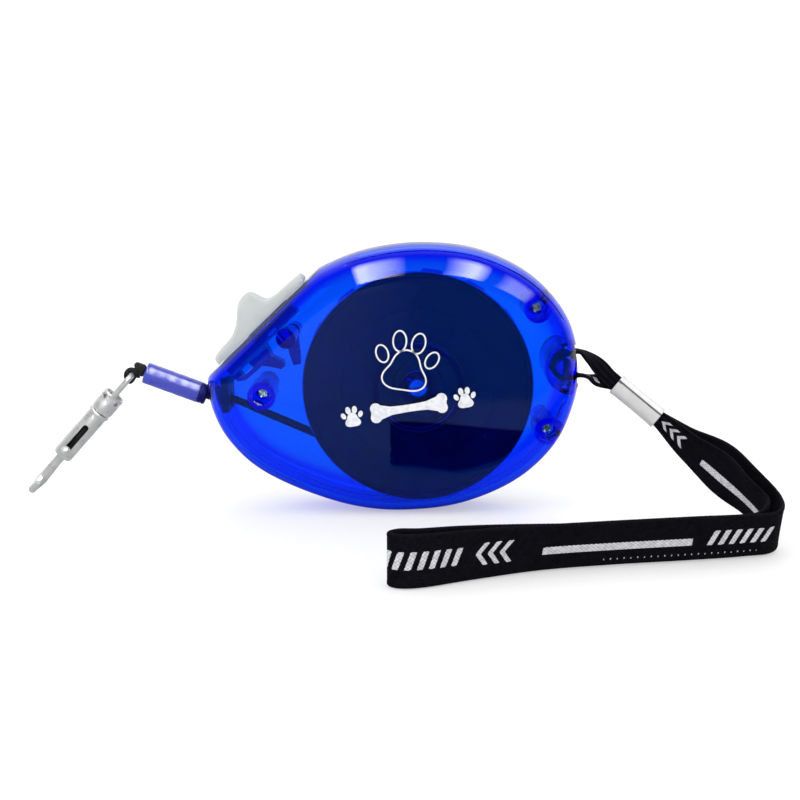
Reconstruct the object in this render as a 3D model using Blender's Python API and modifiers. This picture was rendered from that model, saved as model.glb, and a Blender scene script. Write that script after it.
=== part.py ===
"""Retractable leash: an egg-shaped clear housing with a sprung reel, a slide brake, a braided
cord with a swivelling trigger snap, and a webbing wrist strap crimped round a rear post.

Metres, +Z up. The origin is the middle of the small flat foot that the housing stands on.
+X runs from the cord's nose to the strap, and the front shell faces -Y.
"""

from math import atan2, cos, pi, radians, sin

import bmesh
import bpy
from mathutils import Matrix, Vector

MM = 0.001

# Housing
HALF_DEPTH = 15.0 * MM          # half of the housing's thickness
ROUNDING = 12.0 * MM            # how far the rim curves in before the flat side face
ROUND_POWER = 2.6               # superellipse power of the rim's section
WALL = 1.8 * MM
GAP = 0.3 * MM                  # running gap between neighbouring pieces
SEAM = GAP / 2                  # each shell stops this far from the middle plane
OUTLINE_STEPS = 60
RIM_STEPS = (0.0, 0.38, 0.62, 0.8, 0.91, 0.975, 1.0)

# The housing's outline, anticlockwise from the lower end of the slanted front face. The stretches
# over the foot and the slanted face stand a little proud and are then cut to true flats.
OUTLINE_KNOTS = [
    (-57.7, 44.3), (-58.9, 40.6), (-57.4, 32.0), (-52.5, 22.5), (-43.2, 13.4), (-28.6, 5.9),
    (-12.0, 0.7), (4.0, -0.6), (22.2, 1.8), (39.3, 9.3), (51.2, 20.4), (57.2, 33.2),
    (59.0, 46.1), (55.1, 61.6), (43.8, 74.6), (27.2, 82.7), (9.0, 84.9), (-8.0, 82.8),
    (-21.0, 78.0), (-28.8, 72.8), (-42.0, 60.1), (-53.0, 49.4),
]
FACE_START = Vector((-56.0, 0.0, 45.3)) * MM   # lower end of the slanted face
FACE_ANGLE = radians(44.0)
FACE_ALONG = Vector((cos(FACE_ANGLE), 0.0, sin(FACE_ANGLE)))
FACE_OUT = Vector((-sin(FACE_ANGLE), 0.0, cos(FACE_ANGLE)))

# Screw bosses: where the three case screws stand, as (x, z)
SCREW_PLACES = [(-40.9, 38.2), (44.8, 65.5), (48.6, 27.0)]
BOSS_RADIUS = 4.4 * MM
SCREW_HEAD_RADIUS = 2.2 * MM
SCREW_RADIUS = 1.2 * MM
HEAD_SEAT_Y = -6.0 * MM         # the heads' undersides, deep in the front shell's bosses

# Reel
AXIS = Vector((7.85, 0.0, 40.7)) * MM
AXLE_RADIUS = 3.0 * MM
FLANGE_RADIUS = 36.2 * MM
DRUM_RADIUS = 19.0 * MM
CHAMBER_RADIUS = 17.2 * MM
COVER_RADIUS = 36.2 * MM
COVER_Y = (-10.2 * MM, -8.6 * MM)
PACK_Y = (-8.3 * MM, 4.5 * MM)
FLANGE_Y = (4.8 * MM, 7.8 * MM)
TEETH = 15
TOOTH_DEPTH = 2.6 * MM

# Cord
CORD_RADIUS = 1.25 * MM
WIND_RADIUS = 28.7 * MM         # middle of the outermost turn
RUN_ANGLE = radians(23.5)       # rise of the cord from the reel to the nose
RUN_OUT = Vector((-cos(RUN_ANGLE), 0.0, sin(RUN_ANGLE)))
RUN_START = AXIS + Vector((-sin(RUN_ANGLE), 0.0, -cos(RUN_ANGLE))) * WIND_RADIUS
LEAD_ANGLE = radians(20.5)      # rise of the cord outside the nose
LEAD_OUT = Vector((-cos(LEAD_ANGLE), 0.0, sin(LEAD_ANGLE)))
NOSE = Vector((-58.4, 0.0, 35.7)) * MM  # where the cord leaves the housing
GUIDE_IN = Vector((-50.0, 0.0, 34.5)) * MM
GUIDE_WAY = (NOSE - GUIDE_IN).normalized()

# Brake: the pawl turns on a pin and drops into the teeth of the rear flange
PAWL_PIVOT = Vector((-33.0, 6.3, 56.2)) * MM
PAWL_ANGLE = radians(11.2)      # the pawl's arm from straight down, brake off
PAWL_TURN = radians(28.0)       # how far it turns to drop into the teeth
PAWL_LENGTH = 11.0 * MM
PAWL_Y = (4.9 * MM, 7.7 * MM)

# Strap post and pocket, at the rear
POST = Vector((54.2, 0.0, 46.5)) * MM
POST_RADIUS = 2.7 * MM
POCKET_CENTRE = Vector((55.9, 0.0, 46.6)) * MM
POCKET_RADIUS = 7.0 * MM
POCKET_HALF_WIDTH = 8.4 * MM

# Snap hook: all lengths run from the top of its eye, down along its own axis
HOOK_TOP = Vector((-82.8, 0.0, 43.1)) * MM
HOOK_ANGLE = radians(48.1)
HOOK_DOWN = Vector((-cos(HOOK_ANGLE), 0.0, -sin(HOOK_ANGLE)))
EYE_WIRE = 0.9 * MM

# Wrist strap
STRAP_WIDTH = 15.0 * MM
STRAP_THICKNESS = 1.2 * MM
GATHERED_WIDTH = 5.2 * MM
CRIMP_CENTRE = Vector((77.3, -6.0, 35.3)) * MM
CRIMP_ALONG = Vector((0.762, -0.196, -0.617)).normalized()
CRIMP_WIDTH_WAY = Vector((0.625, 0.05, 0.779)).normalized()
CRIMP_LENGTH = 17.0 * MM
LAYER_OFFSET = 0.85 * MM
END_GAP = 0.8 * MM              # between the webbing's two ends, hidden in the crimp
SLOPE_WIDTH_WAY = Vector((0.42, -0.42, 0.8)).normalized()
# Middle of the webbing in mm, its width in mm, and its lean in degrees
LOOP_OUTER = [
    (92.0, -12.4, 23.9, 9.5, None), (100.6, -23.0, 19.2, 14.0, None), (108.4, -36.6, 14.3, 15.0, 30),
    (112.2, -49.0, 9.3, 15.0, 22), (109.2, -58.2, 7.45, 15.0, 24), (99.3, -61.9, 7.35, 15.0, 22),
    (83.4, -65.1, 7.4, 15.0, 20), (61.6, -69.2, 7.4, 15.0, 20), (40.8, -74.2, 7.45, 15.0, 18),
    (22.0, -81.4, 7.6, 15.0, 10), (8.6, -87.0, 7.65, 15.0, 2), (2.0, -87.6, 7.65, 15.0, 0),
]
LOOP_INNER = [
    (-0.8, -84.8, 7.65, 15.0, 0), (2.0, -82.0, 7.65, 15.0, 0), (8.0, -81.2, 7.65, 15.0, 4),
    (20.0, -76.0, 7.45, 15.0, 15), (39.8, -68.8, 6.9, 15.0, 28), (60.6, -63.5, 6.5, 15.0, 35),
    (79.4, -60.1, 6.5, 15.0, 35), (93.2, -57.6, 6.5, 15.0, 35), (102.4, -54.0, 6.8, 15.0, 34),
    (106.2, -47.2, 8.2, 15.0, 34), (103.2, -38.4, 12.0, 14.5, 38), (98.4, -28.2, 17.0, 12.0, None),
    (91.8, -17.0, 23.0, 9.5, None),
]

# The tab's two legs between the crimp and the pocket: the last number is how far each has twisted
TAB_UPPER = [(67.6, -2.9, 44.7, 6.0, 0.8), (63.2, -1.2, 48.0, 9.0, 0.2), (59.6, -0.2, 50.3, 14.4, 0.0)]
TAB_LOWER = [(59.6, -0.4, 42.6, 14.4, 0.0), (63.2, -1.2, 42.2, 10.5, 0.1), (67.0, -2.6, 41.3, 7.0, 0.6)]

COLORS = {
    "clear_blue": ((0.02, 0.16, 0.9), 0.12, 0.0),
    "white_plastic": ((0.82, 0.82, 0.84), 0.4, 0.0),
    "dark_plastic": ((0.01, 0.014, 0.05), 0.45, 0.0),
    "zinc_steel": ((0.62, 0.63, 0.66), 0.3, 1.0),
    "spring_steel": ((0.3, 0.31, 0.34), 0.35, 1.0),
    "nickel": ((0.78, 0.77, 0.74), 0.25, 1.0),
    "black_cord": ((0.012, 0.012, 0.014), 0.8, 0.0),
    "black_webbing": ((0.012, 0.01, 0.016), 0.85, 0.0),
    "sleeve_blue": ((0.12, 0.15, 0.75), 0.35, 0.0),
    "collar_blue": ((0.005, 0.008, 0.12), 0.4, 0.0),
    "grey_plastic": ((0.12, 0.14, 0.16), 0.5, 0.0),
}


# ---------------------------------------------------------------- helpers

def clear_scene():
    for obj in list(bpy.data.objects):
        bpy.data.objects.remove(obj, do_unlink=True)


def new_collection(name):
    collection = bpy.data.collections.new(name)
    bpy.context.scene.collection.children.link(collection)
    return collection


def make_materials():
    made = {}
    for name, (color, roughness, metallic) in COLORS.items():
        material = bpy.data.materials.new(name)
        material.use_nodes = True
        shader = material.node_tree.nodes["Principled BSDF"]
        shader.inputs["Base Color"].default_value = (*color, 1.0)
        shader.inputs["Roughness"].default_value = roughness
        shader.inputs["Metallic"].default_value = metallic
        made[name] = material
    return made


clear_scene()
PARTS = new_collection("retractable_leash")
CUTTERS = new_collection("cutters")
MATERIALS = make_materials()


def place(name, data, material=None):
    """Links a new object: a part if it has a material, or else a hidden cutter."""
    obj = bpy.data.objects.new(name, data)
    if material:
        PARTS.objects.link(obj)
        data.materials.append(MATERIALS[material])
    else:
        CUTTERS.objects.link(obj)
        obj.hide_render = True
        obj.display_type = "WIRE"
    return obj


def from_bmesh(name, bm, material=None, smooth=True):
    bmesh.ops.recalc_face_normals(bm, faces=bm.faces)
    mesh = bpy.data.meshes.new(name)
    bm.to_mesh(mesh)
    bm.free()
    if smooth:
        mesh.shade_smooth()
        mesh.set_sharp_from_angle(angle=radians(35))
    return place(name, mesh, material)


def to_mesh(obj, material=None):
    """Replaces a curve object by a welded mesh object of the same name."""
    name = obj.name
    matrix = obj.matrix_basis.copy()
    bpy.context.view_layer.update()
    graph = bpy.context.evaluated_depsgraph_get()
    mesh = bpy.data.meshes.new_from_object(obj.evaluated_get(graph))
    bpy.data.objects.remove(obj, do_unlink=True)
    bm = bmesh.new()
    bm.from_mesh(mesh)
    bmesh.ops.remove_doubles(bm, verts=bm.verts, dist=0.001 * MM)
    bmesh.ops.recalc_face_normals(bm, faces=bm.faces)
    bm.to_mesh(mesh)
    bm.free()
    mesh.materials.clear()
    mesh.shade_smooth()
    mesh.set_sharp_from_angle(angle=radians(35))
    made = place(name, mesh, material)
    made.matrix_basis = matrix
    return made


def boolean(obj, operation, other):
    modifier = obj.modifiers.new(operation.lower() + "_" + other.name, "BOOLEAN")
    modifier.operation = operation
    modifier.object = other
    modifier.solver = "EXACT"


def frame_matrix(origin, x_way, y_way, z_way):
    rotation = Matrix((x_way, y_way, z_way)).transposed()
    return Matrix.Translation(origin) @ rotation.to_4x4()


def turned(name, profile, origin, axis, material=None, steps=32):
    """A turned piece. The profile is (radius, height along axis) from the top down the outer side."""
    mesh = bpy.data.meshes.new(name)
    closed = profile[0][0] > 0
    edges = [(i, i + 1) for i in range(len(profile) - 1)]
    if closed:
        edges.append((len(profile) - 1, 0))
    mesh.from_pydata([(r, 0.0, h) for r, h in profile], edges, [])
    obj = place(name, mesh, material)
    screw = obj.modifiers.new("turn", "SCREW")
    screw.steps = steps
    screw.render_steps = steps
    screw.use_merge_vertices = True
    screw.merge_threshold = 0.001 * MM
    screw.use_smooth_shade = False
    obj.rotation_mode = "QUATERNION"
    obj.rotation_quaternion = Vector((0, 0, 1)).rotation_difference(axis)
    obj.location = origin
    return obj


def cylinder(name, radius, start, end, material=None, steps=20):
    """A plain cylinder between two points."""
    bm = bmesh.new()
    length = (end - start).length
    bmesh.ops.create_cone(bm, cap_ends=True, segments=steps, radius1=radius, radius2=radius, depth=length)
    obj = from_bmesh(name, bm, material)
    obj.rotation_mode = "QUATERNION"
    obj.rotation_quaternion = Vector((0, 0, 1)).rotation_difference(end - start)
    obj.location = (start + end) / 2
    return obj


def across(name, radius, centre, y_low, y_high, material=None, steps=20):
    """A cylinder along Y through an (x, z) centre."""
    start = Vector((centre.x, y_low, centre.z))
    end = Vector((centre.x, y_high, centre.z))
    return cylinder(name, radius, start, end, material, steps)


def plate(name, outline, matrix, thickness, material=None):
    """A flat outline in the XY plane of the matrix, extruded half its thickness each way."""
    curve = bpy.data.curves.new(name, "CURVE")
    curve.dimensions = "2D"
    curve.fill_mode = "BOTH"
    curve.extrude = thickness / 2
    spline = curve.splines.new("POLY")
    spline.points.add(len(outline) - 1)
    for point, (x, y) in zip(spline.points, outline):
        point.co = (x, y, 0.0, 1.0)
    spline.use_cyclic_u = True
    obj = bpy.data.objects.new(name, curve)
    PARTS.objects.link(obj)
    obj.matrix_basis = matrix
    return to_mesh(obj, material)


def rod(name, points, radius, material=None, closed=False, resolution=2):
    """A round wire through points, with filled caps unless it closes on itself."""
    curve = bpy.data.curves.new(name, "CURVE")
    curve.dimensions = "3D"
    curve.bevel_depth = radius
    curve.bevel_resolution = resolution
    curve.use_fill_caps = not closed
    curve.twist_mode = "MINIMUM"
    spline = curve.splines.new("POLY")
    spline.points.add(len(points) - 1)
    for point, place_at in zip(spline.points, points):
        point.co = (*place_at, 1.0)
    spline.use_cyclic_u = closed
    obj = bpy.data.objects.new(name, curve)
    PARTS.objects.link(obj)
    return to_mesh(obj, material)


def block(name, x, y, z, matrix=None, material=None):
    """A box over three (low, high) ranges, in the frame of the matrix."""
    bm = bmesh.new()
    size = Vector((x[1] - x[0], y[1] - y[0], z[1] - z[0]))
    centre = Vector((x[0] + x[1], y[0] + y[1], z[0] + z[1])) / 2
    bmesh.ops.create_cube(bm, size=1.0)
    bmesh.ops.scale(bm, vec=size, verts=bm.verts)
    bmesh.ops.translate(bm, vec=centre, verts=bm.verts)
    obj = from_bmesh(name, bm, material, smooth=False)
    if matrix:
        obj.matrix_basis = matrix
    return obj


def curve_through(knots, steps_each, closed=False):
    """A Catmull-Rom curve through knots that are tuples of any one length."""
    knots = [Vector(knot) for knot in knots]
    if closed:
        padded = [knots[-1]] + knots + knots[:2]
    else:
        padded = [2 * knots[0] - knots[1]] + knots + [2 * knots[-1] - knots[-2]]
    points = []
    for i in range(len(padded) - 3):
        a, b, c, d = padded[i:i + 4]
        for k in range(steps_each):
            t = k / steps_each
            cubic = (-a + 3 * b - 3 * c + d) * t ** 3
            square = (2 * a - 5 * b + 4 * c - d) * t ** 2
            points.append((cubic + square + (c - a) * t + 2 * b) / 2)
    if not closed:
        points.append(knots[-1].copy())
    return points


def spaced(points, count):
    """The closed loop of points, read again at equal steps along it."""
    loop = points + [points[0]]
    lengths = [(b - a).length for a, b in zip(loop, loop[1:])]
    step = sum(lengths) / count
    result = []
    index, walked = 0, 0.0
    for i in range(count):
        target = i * step
        while walked + lengths[index] < target:
            walked += lengths[index]
            index += 1
        share = (target - walked) / lengths[index]
        result.append(loop[index].lerp(loop[index + 1], share))
    return result


# ---------------------------------------------------------------- housing

def outline_points():
    knots = [(x * MM, z * MM) for x, z in OUTLINE_KNOTS]
    return spaced(curve_through(knots, 12, closed=True), OUTLINE_STEPS)


def inward(points, distance):
    """The closed outline moved inwards along its normals."""
    moved = []
    for i, point in enumerate(points):
        along = points[(i + 1) % len(points)] - points[i - 1]
        normal = Vector((-along.y, along.x)).normalized()
        moved.append(point + normal * distance)
    return moved


def flattened(x, z, inset):
    """Keeps a point behind the flat foot and the flat slanted face, both moved in by inset."""
    z = max(z, inset)
    out = (Vector((x, 0.0, z)) - FACE_START).dot(FACE_OUT) + inset
    if out > 0:
        x -= out * FACE_OUT.x
        z -= out * FACE_OUT.z
    return x, z


def half_body(name, side, inset, first_y):
    """A solid half of the housing's form, as a stack of outlines that close in to the side face."""
    outline = inward(outline_points(), inset)
    middle = Vector((0.0, 43.0 * MM))
    depth = HALF_DEPTH - inset
    rounding = ROUNDING - 0.6 * inset
    bm = bmesh.new()
    rings = []
    for step in RIM_STEPS:
        y = max(depth * step, first_y) if step > 0 else first_y
        closing = rounding * (1 - (1 - step ** ROUND_POWER) ** (1 / ROUND_POWER))
        ring = []
        for point in outline:
            towards = (middle - point).normalized()
            x, z = flattened(*(point + towards * closing), inset)
            ring.append(bm.verts.new((x, side * y, z)))
        rings.append(ring)
    for lower, upper in zip(rings, rings[1:]):
        for i in range(len(lower)):
            bm.faces.new((lower[i - 1], lower[i], upper[i], upper[i - 1]))
    bm.faces.new(rings[0])
    bm.faces.new(rings[-1])
    return from_bmesh(name, bm, "clear_blue" if inset == 0 else None)


def cut_cavity(shell, side, keep):
    """Hollows a half body, leaving the walls and every solid in keep."""
    cavity = half_body(shell.name + "_cavity", side, WALL, -1.0 * MM)
    for solid in keep:
        boolean(cavity, "DIFFERENCE", solid)
    boolean(shell, "DIFFERENCE", cavity)


def button_slot():
    """The slot through the slanted face that the button's stem slides in."""
    matrix = face_matrix(0.0)
    return block("button_slot", (14.2 * MM, 30.8 * MM), (-4.0 * MM, 2.0 * MM), (-3.2 * MM, 3.2 * MM), matrix)


def face_matrix(y):
    """A frame on the slanted face: x up along it, y straight out of it, z towards the front."""
    return frame_matrix(FACE_START + Vector((0, y, 0)), FACE_ALONG, FACE_OUT, Vector((0, -1, 0)))


def cord_hole(radius, name):
    """A cutter along the guide's bore where it passes through the nose."""
    return cylinder(name, radius, GUIDE_IN, NOSE + GUIDE_WAY * 4 * MM)


def make_front_shell():
    shell = half_body("front_shell", -1, 0.0, SEAM)
    keep = []
    for number, (x, z) in enumerate(SCREW_PLACES, 1):
        centre = Vector((x, 0, z)) * MM
        keep.append(across(f"front_boss_{number}", BOSS_RADIUS, centre, -16 * MM, -SEAM))
    keep.append(across("front_axle_boss", 5.4 * MM, AXIS, -14 * MM, -11.2 * MM))
    bearing = [(14.0 * MM, -10.9 * MM), (14.0 * MM, -14 * MM), (12.8 * MM, -14 * MM), (12.8 * MM, -10.9 * MM)]
    keep.append(turned("front_bearing_ring", bearing, AXIS, Vector((0, 1, 0)), steps=40))
    keep.append(across("front_pawl_boss", 3.0 * MM, PAWL_PIVOT, -16 * MM, 4.3 * MM))
    keep.append(across("front_pocket_wall", POCKET_RADIUS + 1.4 * MM, POCKET_CENTRE,
                       -POCKET_HALF_WIDTH - 1.4 * MM, 1 * MM, steps=36))
    cut_cavity(shell, -1, keep)
    for number, (x, z) in enumerate(SCREW_PLACES, 1):
        centre = Vector((x, 0, z)) * MM
        boolean(shell, "DIFFERENCE", across(f"front_recess_{number}", 2.6 * MM, centre, -20 * MM, HEAD_SEAT_Y))
        hole = across(f"front_hole_{number}", 1.6 * MM, centre, -20 * MM, 1 * MM, steps=16)
        boolean(shell, "DIFFERENCE", hole)
    boolean(shell, "DIFFERENCE", across("front_axle_hole", AXLE_RADIUS + GAP, AXIS, -12.9 * MM, 0))
    boolean(shell, "DIFFERENCE", across("front_pawl_hole", 1.3 * MM, PAWL_PIVOT, -4.0 * MM, 5 * MM, steps=16))
    boolean(shell, "DIFFERENCE", across("front_pocket", POCKET_RADIUS, POCKET_CENTRE, -POCKET_HALF_WIDTH,
                                        5 * MM, steps=36))
    boolean(shell, "DIFFERENCE", SHARED["button_slot"])
    boolean(shell, "DIFFERENCE", SHARED["cord_hole"])


def make_rear_shell():
    shell = half_body("rear_shell", 1, 0.0, SEAM)
    keep = []
    for number, (x, z) in enumerate(SCREW_PLACES, 1):
        centre = Vector((x, 0, z)) * MM
        keep.append(across(f"rear_boss_{number}", 3.6 * MM, centre, SEAM, 16 * MM))
    keep.append(across("rear_axle_boss", 5.4 * MM, AXIS, 10.6 * MM, 14 * MM))
    keep.append(across("rear_pawl_boss", 3.0 * MM, PAWL_PIVOT, 8.1 * MM, 16 * MM))
    keep.append(across("rear_pocket_wall", POCKET_RADIUS + 1.4 * MM, POCKET_CENTRE,
                       -1 * MM, POCKET_HALF_WIDTH + 1.4 * MM, steps=36))
    cut_cavity(shell, 1, keep)
    for number, (x, z) in enumerate(SCREW_PLACES, 1):
        centre = Vector((x, 0, z)) * MM
        pilot = across(f"rear_pilot_{number}", 1.5 * MM, centre, -1 * MM, 9 * MM, steps=16)
        boolean(shell, "DIFFERENCE", pilot)
    boolean(shell, "DIFFERENCE", across("rear_axle_hole", AXLE_RADIUS + GAP, AXIS, 0, 12.9 * MM))
    boolean(shell, "DIFFERENCE", across("rear_pawl_hole", 1.3 * MM, PAWL_PIVOT, 5 * MM, 11.5 * MM, steps=16))
    boolean(shell, "DIFFERENCE", across("rear_pocket", POCKET_RADIUS, POCKET_CENTRE, -5 * MM,
                                        POCKET_HALF_WIDTH, steps=36))
    boolean(shell, "DIFFERENCE", SHARED["button_slot"])
    boolean(shell, "DIFFERENCE", SHARED["cord_hole"])
    post = across("strap_post_form", POST_RADIUS, POST, -8.1 * MM, 9.2 * MM)
    boolean(shell, "UNION", post)


def make_case_screws():
    head = 1.7 * MM
    profile = [
        (0.0, head), (1.3 * MM, head), (SCREW_HEAD_RADIUS, 0.8 * MM), (SCREW_HEAD_RADIUS, GAP),
        (SCREW_RADIUS, GAP), (SCREW_RADIUS, -13.0 * MM), (0.5 * MM, -14.0 * MM), (0.0, -14.0 * MM),
    ]
    for number, (x, z) in enumerate(SCREW_PLACES, 1):
        seat = Vector((x * MM, HEAD_SEAT_Y, z * MM))
        screw = turned(f"case_screw_{number}", profile, seat, Vector((0, -1, 0)), "zinc_steel", 20)
        for turn in range(2):
            name = f"case_screw_{number}_slot_{turn + 1}"
            matrix = Matrix.Translation(seat) @ Matrix.Rotation(radians(28 + 90 * turn), 4, "Y")
            width, depth = 0.28 * MM, 0.9 * MM
            bar = block(name, (-1.5 * MM, 1.5 * MM), (-head - 1 * MM, depth - head), (-width, width), matrix)
            boolean(screw, "DIFFERENCE", bar)


def make_cord_guide():
    """A plate inside the nose with a bell-mouthed spout that the cord runs through."""
    way = frame_matrix(Vector((0, 0, 0)), Vector((1, 0, 0)), Vector((0, 1, 0)), Vector((0, 0, 1)))
    guide = block("cord_guide", (-54.4 * MM, -52.2 * MM), (-6.5 * MM, 6.5 * MM), (31.6 * MM, 42.8 * MM),
                  way, "grey_plastic")
    start = GUIDE_IN + GUIDE_WAY * 3.0 * MM
    end = GUIDE_IN + GUIDE_WAY * 7.4 * MM
    boolean(guide, "UNION", cylinder("guide_spout", 3.1 * MM, start, end))
    boolean(guide, "DIFFERENCE", cord_hole(2.2 * MM, "guide_bore"))


def make_reel_axle():
    profile = [
        (0.0, 12.6 * MM), (2.6 * MM, 12.6 * MM), (AXLE_RADIUS, 12.2 * MM),
        (AXLE_RADIUS, -12.2 * MM), (2.6 * MM, -12.6 * MM), (0.0, -12.6 * MM),
    ]
    axle = turned("reel_axle", profile, AXIS, Vector((0, 1, 0)), "zinc_steel", 24)
    matrix = Matrix.Translation(AXIS)
    slit = block("axle_slit", (-0.6 * MM, 0.6 * MM), (-6.5 * MM, 14 * MM), (-4 * MM, 4 * MM), matrix)
    boolean(axle, "DIFFERENCE", slit)


def make_pawl_pin():
    across("pawl_pin", 1.0 * MM, PAWL_PIVOT, -3.6 * MM, 11.2 * MM, "zinc_steel", 16)


# ---------------------------------------------------------------- reel

def ratchet_outline():
    """The rear flange's rim: at every pitch a notch, steep on one side, and arcs between them."""
    pitch = 2 * pi / TEETH
    steep, ramp = 0.085, 0.165
    bottom = FLANGE_RADIUS - TOOTH_DEPTH
    points = []
    for tooth in range(TEETH):
        start = pawl_engaged_angle() + tooth * pitch
        for angle, radius in ((-ramp, FLANGE_RADIUS), (-0.07, bottom), (0.07, bottom)):
            points.append((radius * cos(start + angle), radius * sin(start + angle)))
        for step in range(4):
            angle = start + steep + (pitch - steep - ramp) * step / 4
            points.append((FLANGE_RADIUS * cos(angle), FLANGE_RADIUS * sin(angle)))
    return points


def pawl_engaged_angle():
    """Where round the reel, from +X towards +Z, the pawl's tip lands."""
    tip = pawl_point(PAWL_ANGLE + PAWL_TURN, PAWL_LENGTH)
    return atan2(tip.z - AXIS.z, tip.x - AXIS.x)


def pawl_point(angle, distance):
    return PAWL_PIVOT + Vector((sin(angle), 0, -cos(angle))) * distance


def make_reel_drum():
    """The winding drum with its spring chamber and the toothed rear flange."""
    front, back = PACK_Y[0], FLANGE_Y[1]
    profile = [
        (DRUM_RADIUS, back - 0.5 * MM), (DRUM_RADIUS, front), (AXLE_RADIUS + GAP, front),
        (AXLE_RADIUS + GAP, front + 1.5 * MM), (CHAMBER_RADIUS, front + 1.5 * MM),
        (CHAMBER_RADIUS, back - 0.5 * MM),
    ]
    drum = turned("reel_drum", profile, AXIS, Vector((0, 1, 0)), "dark_plastic", 48)
    thickness = FLANGE_Y[1] - FLANGE_Y[0]
    centre = AXIS + Vector((0, sum(FLANGE_Y) / 2, 0))
    matrix = frame_matrix(centre, Vector((1, 0, 0)), Vector((0, 0, 1)), Vector((0, -1, 0)))
    flange = plate("toothed_flange", ratchet_outline(), matrix, thickness)
    boolean(flange, "DIFFERENCE", across("flange_hole", CHAMBER_RADIUS + 0.8 * MM, AXIS, 0, 12 * MM, steps=48))
    boolean(drum, "UNION", flange)


def make_reel_cover():
    """The smooth front flange, with a raised ring round its hub."""
    front, back = COVER_Y
    profile = [
        (COVER_RADIUS, back), (COVER_RADIUS, front + 0.4 * MM), (COVER_RADIUS - 0.4 * MM, front),
        (11.8 * MM, front), (11.4 * MM, front - 0.6 * MM), (8.6 * MM, front - 0.6 * MM),
        (8.2 * MM, front), (AXLE_RADIUS + GAP, front), (AXLE_RADIUS + GAP, back),
    ]
    turned("reel_cover", profile, AXIS, Vector((0, 1, 0)), "dark_plastic", 48)


def make_spring_cover():
    low = FLANGE_Y[1] + GAP
    profile = [
        (20.5 * MM, low + 1.2 * MM), (20.5 * MM, low), (AXLE_RADIUS + GAP, low),
        (AXLE_RADIUS + GAP, low + 1.2 * MM),
    ]
    turned("spring_cover", profile, AXIS, Vector((0, 1, 0)), "dark_plastic", 40)


def make_mainspring():
    """The wound steel strip that turns the reel back."""
    turns, steps = 5, 18
    inner, outer = 3.9 * MM, 16.2 * MM
    half = 0.22 * MM
    count = turns * steps
    radii = [inner + (outer - inner) * i / count for i in range(count + 1)]
    angles = [2 * pi * i / steps for i in range(count + 1)]
    outside = [((r + half) * cos(a), (r + half) * sin(a)) for r, a in zip(radii, angles)]
    inside = [((r - half) * cos(a), (r - half) * sin(a)) for r, a in zip(radii, angles)]
    centre = AXIS + Vector((0, -1.0 * MM, 0))
    matrix = frame_matrix(centre, Vector((1, 0, 0)), Vector((0, 0, 1)), Vector((0, -1, 0)))
    plate("mainspring", outside + inside[::-1], matrix, 10.0 * MM, "spring_steel")


def make_cord_pack():
    """The wound cord under its outermost turn."""
    outer = WIND_RADIUS - CORD_RADIUS - GAP
    inner = DRUM_RADIUS + GAP
    low, high = PACK_Y[0], PACK_Y[1]
    profile = [(outer, high), (outer, low), (inner, low), (inner, high)]
    turned("cord_pack", profile, AXIS, Vector((0, 1, 0)), "black_cord", 48)


# ---------------------------------------------------------------- brake

def make_brake_button():
    """The white thumb slide on the slanted face, as its side outline with rounded edges."""
    outline = [
        (0.4, 0.3), (39.1, 0.3), (39.3, 1.5), (38.4, 2.2), (31.5, 2.8), (25.4, 3.3), (23.9, 4.3),
        (22.8, 6.7), (21.9, 8.3), (20.2, 9.1), (18.3, 9.1), (16.3, 7.9), (13.6, 5.4), (11.6, 4.0),
        (9.2, 3.3), (2.8, 3.1), (1.0, 2.5), (0.3, 1.4),
    ]
    points = [(x * MM, y * MM) for x, y in outline]
    button = plate("brake_button", points, face_matrix(0.0), 12.0 * MM, "white_plastic")
    stem = block("button_stem", (15.2 * MM, 24.8 * MM), (-2.3 * MM, 0.8 * MM), (-2.7 * MM, 2.7 * MM),
                 face_matrix(0.0))
    boolean(button, "UNION", stem)


def make_brake_slider():
    """The bar under the slanted face, with two windows and a finger that pushes the pawl."""
    bar = [(2.2, -2.5), (31.5, -2.5), (31.5, -4.9), (17.0, -4.9), (15.5, -9.6), (4.4, -9.0), (2.2, -7.4)]
    points = [(x * MM, y * MM) for x, y in bar]
    slider = plate("brake_slider", points, face_matrix(-1.2 * MM), 6.4 * MM, "clear_blue")
    finger = [(8.5, -2.8), (14.6, -2.8), (14.6, -9.6), (15.9, -13.8), (15.4, -15.0), (13.9, -14.9), (8.5, -7.0)]
    points = [(x * MM, y * MM) for x, y in finger]
    push = plate("push_finger", points, face_matrix(4.7 * MM), 5.6 * MM)
    boolean(slider, "UNION", push)
    for number, low in enumerate((4.6, 18.6), 1):
        high = -5.2 if number == 1 else -3.3
        bottom = -7.6 if number == 1 else -4.2
        window = block(f"slider_window_{number}", (low * MM, (low + 4.4) * MM), (bottom * MM, high * MM),
                       (-12 * MM, 12 * MM), face_matrix(0.0))
        boolean(slider, "DIFFERENCE", window)


def make_brake_pawl():
    """A flat arm with a hub on the pin and a tip that drops into the rear flange's teeth."""
    angle = PAWL_ANGLE
    down = Vector((sin(angle), 0, -cos(angle)))
    side = Vector((cos(angle), 0, sin(angle)))
    matrix = frame_matrix(PAWL_PIVOT, side, -down, Vector((0, -1, 0)))
    hub = [(2.9 * cos(a), 2.9 * sin(a)) for a in [radians(-40 + 20 * i) for i in range(14)]]
    arm = [(-1.7, -8.0), (-1.3, -11.2), (1.2, -11.2), (1.8, -7.5)]
    points = [(x * MM, y * MM) for x, y in hub + arm]
    pawl = plate("brake_pawl", points, matrix, PAWL_Y[1] - PAWL_Y[0], "clear_blue")
    boolean(pawl, "DIFFERENCE", across("pawl_bore", 1.3 * MM, PAWL_PIVOT, 0, 12 * MM, steps=16))


# ---------------------------------------------------------------- cord, sleeve and loop

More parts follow.
